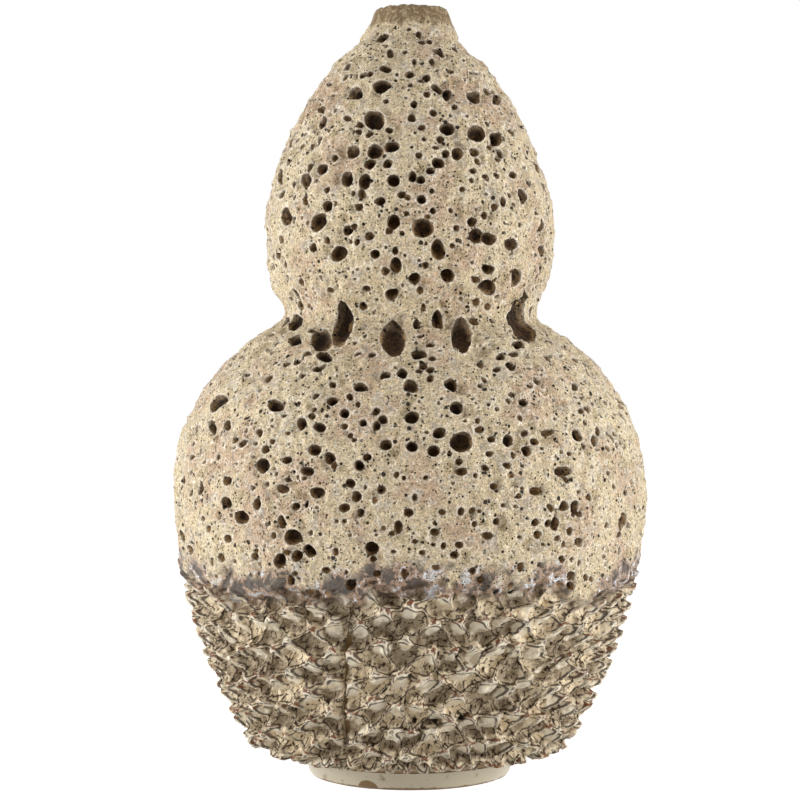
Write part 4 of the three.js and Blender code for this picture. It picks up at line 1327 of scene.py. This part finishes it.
# %% [markdown]
# ## The turned pieces
# The foot, the two thrown walls and the lip are turned forms: a profile that goes once round the axis. A
# Geometry Nodes tree does this for all of them. It bends a flat grid round the axis so that one side of
# the grid follows the profile, closes the seam, and adds the slight unevenness of thrown clay.

# %% Turning tree
SEAM_MERGE = 0.02 * MM


def turning_tree():
    tree = bpy.data.node_groups.new("Turned clay", "GeometryNodeTree")
    for name, kind in (("Profile", "Geometry"), ("Rows", "Int"), ("Segments", "Int"),
                       ("Bump Height", "Float"), ("Bump Width", "Float"), ("Finish", "Material")):
        tree.interface.new_socket(name, in_out="INPUT", socket_type=f"NodeSocket{kind}")
    tree.interface.new_socket("Geometry", in_out="OUTPUT", socket_type="NodeSocketGeometry")
    given = add(tree, "NodeGroupInput").outputs
    curve = add(tree, "GeometryNodeMeshToCurve", {0: given["Profile"]}).outputs[0]
    counts = {"Vertices X": given["Rows"], "Vertices Y": given["Segments"]}
    sheet = add(tree, "GeometryNodeMeshGrid", {"Size X": 1.0, "Size Y": 1.0, **counts}).outputs[0]
    position = add(tree, "GeometryNodeInputPosition").outputs[0]
    spot = add(tree, "ShaderNodeSeparateXYZ", {0: position}).outputs
    share = add(tree, "ShaderNodeMath", {0: spot[0], 1: 0.5}, operation="ADD").outputs[0]
    angle = add(tree, "ShaderNodeMath", {0: spot[1], 1: TURN}, operation="MULTIPLY").outputs[0]
    sample = add(tree, "GeometryNodeSampleCurve", {"Curves": curve, "Factor": share}, mode="FACTOR",
                 use_all_curves=True)
    turned = add(tree, "ShaderNodeVectorRotate", {"Vector": sample.outputs["Position"], "Angle": angle},
                 rotation_type="Z_AXIS").outputs[0]
    bent = add(tree, "GeometryNodeSetPosition", {0: sheet, "Position": turned}).outputs[0]
    closed = add(tree, "GeometryNodeMergeByDistance", {0: bent, "Distance": SEAM_MERGE}).outputs[0]
    scale = add(tree, "ShaderNodeMath", {0: 1.0, 1: given["Bump Width"]}, operation="DIVIDE").outputs[0]
    noise = add(tree, "ShaderNodeTexNoise", {"Scale": scale, "Detail": 2.0}).outputs["Fac"]
    level = add(tree, "ShaderNodeMath", {0: noise, 1: 0.5}, operation="SUBTRACT").outputs[0]
    push = add(tree, "ShaderNodeMath", {0: level, 1: given["Bump Height"]}, operation="MULTIPLY").outputs[0]
    normal = add(tree, "GeometryNodeInputNormal").outputs[0]
    offset = add(tree, "ShaderNodeVectorMath", {0: normal, "Scale": push}, operation="SCALE").outputs[0]
    uneven = add(tree, "GeometryNodeSetPosition", {0: closed, "Offset": offset}).outputs[0]
    smooth = add(tree, "GeometryNodeSetShadeSmooth", {0: uneven}).outputs[0]
    solid = add(tree, "GeometryNodeRealizeInstances", {0: smooth}).outputs[0]
    finished = add(tree, "GeometryNodeSetMaterial", {0: solid, "Material": given["Finish"]}).outputs[0]
    add(tree, "NodeGroupOutput", {0: finished})
    return tree


turning = turning_tree()


def turn_piece(name, profile, rows, segments, bump_height, bump_width, finish, node):
    """A closed turned piece from a closed profile of (radius, height) points in millimetres."""
    mesh = bpy.data.meshes.new(name)
    points = [(r * MM, 0, z * MM) for r, z in profile]
    edges = [(i, (i + 1) % len(points)) for i in range(len(points))]
    mesh.from_pydata(points, edges, [])
    blank = bpy.data.objects.new(name, mesh)
    bpy.context.collection.objects.link(blank)
    modifier = blank.modifiers.new("Turned clay", "NODES")
    modifier.node_group = turning
    sizes = {"Rows": rows, "Segments": segments + 1, "Bump Height": bump_height * MM,
             "Bump Width": bump_width * MM, "Finish": finish}
    for item in turning.interface.items_tree:
        if item.item_type == "SOCKET" and item.name in sizes:
            modifier[item.identifier] = sizes[item.name]
    evaluated = blank.evaluated_get(bpy.context.evaluated_depsgraph_get())
    made = bpy.data.meshes.new_from_object(evaluated)
    bpy.data.objects.remove(blank)
    corner = np.zeros(len(made.vertices) * 3, np.float32)
    made.vertices.foreach_get("co", corner)
    made.calc_loop_triangles()
    index = np.zeros(len(made.loop_triangles) * 3, np.int32)
    made.loop_triangles.foreach_get("vertices", index)
    a, b, c = corner.reshape(-1, 3)[index.reshape(-1, 3)].transpose(1, 0, 2)
    if float((a * np.cross(b, c)).sum()) < 0:
        made.flip_normals()
    made.name = name
    stand_in(name, made, node)


# %% Foot ring
FOOT_PROFILE = [(45, 0.2), (47, 0), (50, 0), (51.6, 0.6), (52.6, 2), (53.6, 5), (55.8, 9.6), (43.2, 9.6),
                (43, 5), (43.4, 1.4)]
FOOT_ROWS, FOOT_SEGMENTS = 120, 240
FOOT_BUMP_HEIGHT, FOOT_BUMP_WIDTH = 0.5, 14
turn_piece("turned_foot", FOOT_PROFILE, FOOT_ROWS, FOOT_SEGMENTS, FOOT_BUMP_HEIGHT, FOOT_BUMP_WIDTH,
           foot_glaze, "foot_ring")

# %% [markdown]
# The thrown walls lie behind the glaze and the clay strips. They show in the mouth, under the skirt and
# between open strips, so they are kept plain.

# %% Thrown walls
WALL_BACK = 11.8
JOINT_GAP = 0.3
STRIP_GAP = 0.45
WALL_LOW = 22.0
# The wall is this much thicker behind the strips, and grows so over this height below their upper end
WALL_MORE, WALL_FADE = 2, 10
WALL_POINTS = 40
LOWER_ROWS, UPPER_ROWS, WALL_SEGMENTS = 200, 160, 180
WALL_BUMP_HEIGHT, WALL_BUMP_WIDTH = 0.4, 20


def wall_profile(low, high, depth_low):
    """Outer and inner (radius, height) points of a wall that lies a depth under the outline."""
    outer, inner = [], []
    for height in np.linspace(low, high, WALL_POINTS):
        s = np.array([float(along(height))])
        depth = depth_low if height < STRIP_TOP else COAT_BACK + JOINT_GAP
        behind_strips = float(1 - fade(height, STRIP_TOP - WALL_FADE, STRIP_TOP))
        back = WALL_BACK + (STRIP_BACK - COAT_BACK + WALL_MORE) * behind_strips
        for side, under in ((outer, depth), (inner, back)):
            x, y, z = place(np.zeros(1), s, np.array([-under]))[0]
            side.append((-y, z))
    return outer, inner


outer, inner = wall_profile(WALL_LOW, WAIST_HEIGHT - JOINT_GAP, STRIP_BACK + STRIP_GAP)
LOWER_PROFILE = [(0.01, 10), (30, 10), (56, 10), (66, 13.5), (75, 19.5)] + outer + inner[::-1]
LOWER_PROFILE += [(57, 19.4), (30, 19), (0.01, 19)]
outer, inner = wall_profile(WAIST_HEIGHT + JOINT_GAP, NECK_HEIGHT, COAT_BACK + JOINT_GAP)
for name, profile, rows, node in (("lower_wall", LOWER_PROFILE, LOWER_ROWS, "lower_bulb"),
                                  ("upper_wall", outer + inner[::-1], UPPER_ROWS, "upper_bulb")):
    turn_piece(name, profile, rows, WALL_SEGMENTS, WALL_BUMP_HEIGHT, WALL_BUMP_WIDTH, bare_stoneware, node)

# %% [markdown]
# The lip is a small collar that was added last. The foamed glaze climbs its lower half, and above that a
# thin brown glaze ran off in ripples. It is not quite round: it stands a little to the right of the axis
# in the photo, and its left side is pinched in under the rim. It closes on itself without a back.

# %% Lip collar
SHIFT_SIDE, SHIFT_FADE = 0.9, 4
PINCH_SIDE, PINCH_FADE = 1.6, 2
PINCH_HEIGHT, PINCH_REACH = 385.5, 4.0
TOP_MARGIN = 0.05
beside = np.sin(collar.turn)
height = collar.xyz[..., 2].copy()
shift = np.clip((height - NECK_HEIGHT) / SHIFT_FADE, 0, 1) * SHIFT_SIDE
pinch = PINCH_SIDE * np.exp(-((height - PINCH_HEIGHT) / PINCH_REACH) ** 2)
pinch = pinch * np.clip((height - NECK_HEIGHT) / PINCH_FADE, 0, 1)
collar.xyz[..., 0] += shift + pinch * beside * np.abs(beside)
collar.xyz[..., 2] = np.minimum(height, HEIGHT - TOP_MARGIN)
collar.find_normals()
ring_piece("lip", collar, collar.first, collar.last, 0, lip_glaze, "lip_collar")

# %% [markdown]
# ## Studio
# The photo was taken almost level, from about three vase heights away, with a large soft light on each
# side. The background is plain white.

# %% Floor, light and camera
CAMERA_DISTANCE = 1.198
CAMERA_HEIGHT = 0.2295
CAMERA_PITCH, CAMERA_YAW = 1.64, 0.238
CAMERA_LENS = 102.92
FLOOR_HALF, FLOOR_GLOW, FILL_STRENGTH = 4, 0.9, 0.175


def seen_white(tree):
    """1 for what the camera sees, also in reflections or through glass, and 0 for the light on things."""
    path = add(tree, "ShaderNodeLightPath").outputs
    seen = path["Is Camera Ray"]
    for ray in ("Is Glossy Ray", "Is Transmission Ray"):
        seen = add(tree, "ShaderNodeMath", {0: seen, 1: path[ray]}, operation="MAXIMUM").outputs[0]
    return seen


floor_material = bpy.data.materials.new("pale studio floor")
tree = fresh_tree(floor_material)
diffuse = add(tree, "ShaderNodeBsdfDiffuse", {"Color": colour("#f4f4f4")}).outputs[0]
glow = add(tree, "ShaderNodeEmission", {"Color": colour("#ffffff"), "Strength": FLOOR_GLOW}).outputs[0]
lit = add(tree, "ShaderNodeAddShader", {0: diffuse, 1: glow}).outputs[0]
mixed = add(tree, "ShaderNodeMixShader", {0: seen_white(tree), 1: diffuse, 2: lit}).outputs[0]
add(tree, "ShaderNodeOutputMaterial", {"Surface": mixed})

mesh = bpy.data.meshes.new("floor")
corners = [(x * FLOOR_HALF, y * FLOOR_HALF, 0) for x, y in ((-1, -1), (1, -1), (1, 1), (-1, 1))]
mesh.from_pydata(corners, [], [(0, 1, 2, 3)])
mesh.materials.append(floor_material)
floor = bpy.data.objects.new("floor", mesh)
bpy.context.collection.objects.link(floor)

world = bpy.data.worlds.new("white studio")
bpy.context.scene.world = world
tree = fresh_tree(world)
shown, fill = (
    add(tree, "ShaderNodeBackground", {"Color": colour(tone), "Strength": strength}).outputs[0]
    for tone, strength in (("#ffffff", 1.0), ("#ffeed6", FILL_STRENGTH)))
mixed = add(tree, "ShaderNodeMixShader", {0: seen_white(tree), 1: fill, 2: shown}).outputs[0]
add(tree, "ShaderNodeOutputWorld", {"Surface": mixed})

# Each softbox: azimuth in degrees from the camera, height and distance in metres, width and height, watts
SOFTBOXES = {
    "left softbox": (-72, 0.28, 1.05, 0.55, 0.56, 8.9),
    "right softbox": (68, 0.28, 1.05, 0.55, 0.56, 8.0),
    "top softbox": (0, 1.5, 0.25, 1.0, 1.0, 4.6),
}
AIM = Vector((0, 0, 0.2))
for name, (azimuth, height, distance, width, tallness, watts) in SOFTBOXES.items():
    light = bpy.data.lights.new(name, "AREA")
    light.shape = "RECTANGLE"
    light.size, light.size_y = width, tallness
    light.energy = watts
    lamp = bpy.data.objects.new(name, light)
    turn = math.radians(azimuth)
    lamp.location = (distance * math.sin(turn), -distance * math.cos(turn), height)
    lamp.rotation_euler = (AIM - lamp.location).to_track_quat("-Z", "Y").to_euler()
    bpy.context.collection.objects.link(lamp)

camera_data = bpy.data.cameras.new("camera")
camera_data.lens = CAMERA_LENS
camera = bpy.data.objects.new("camera", camera_data)
camera.location = (0, -CAMERA_DISTANCE, CAMERA_HEIGHT)
camera.rotation_euler = (math.radians(90 - CAMERA_PITCH), 0, math.radians(CAMERA_YAW))
bpy.context.collection.objects.link(camera)
bpy.context.scene.camera = camera
bpy.context.scene.view_settings.view_transform = "Standard"
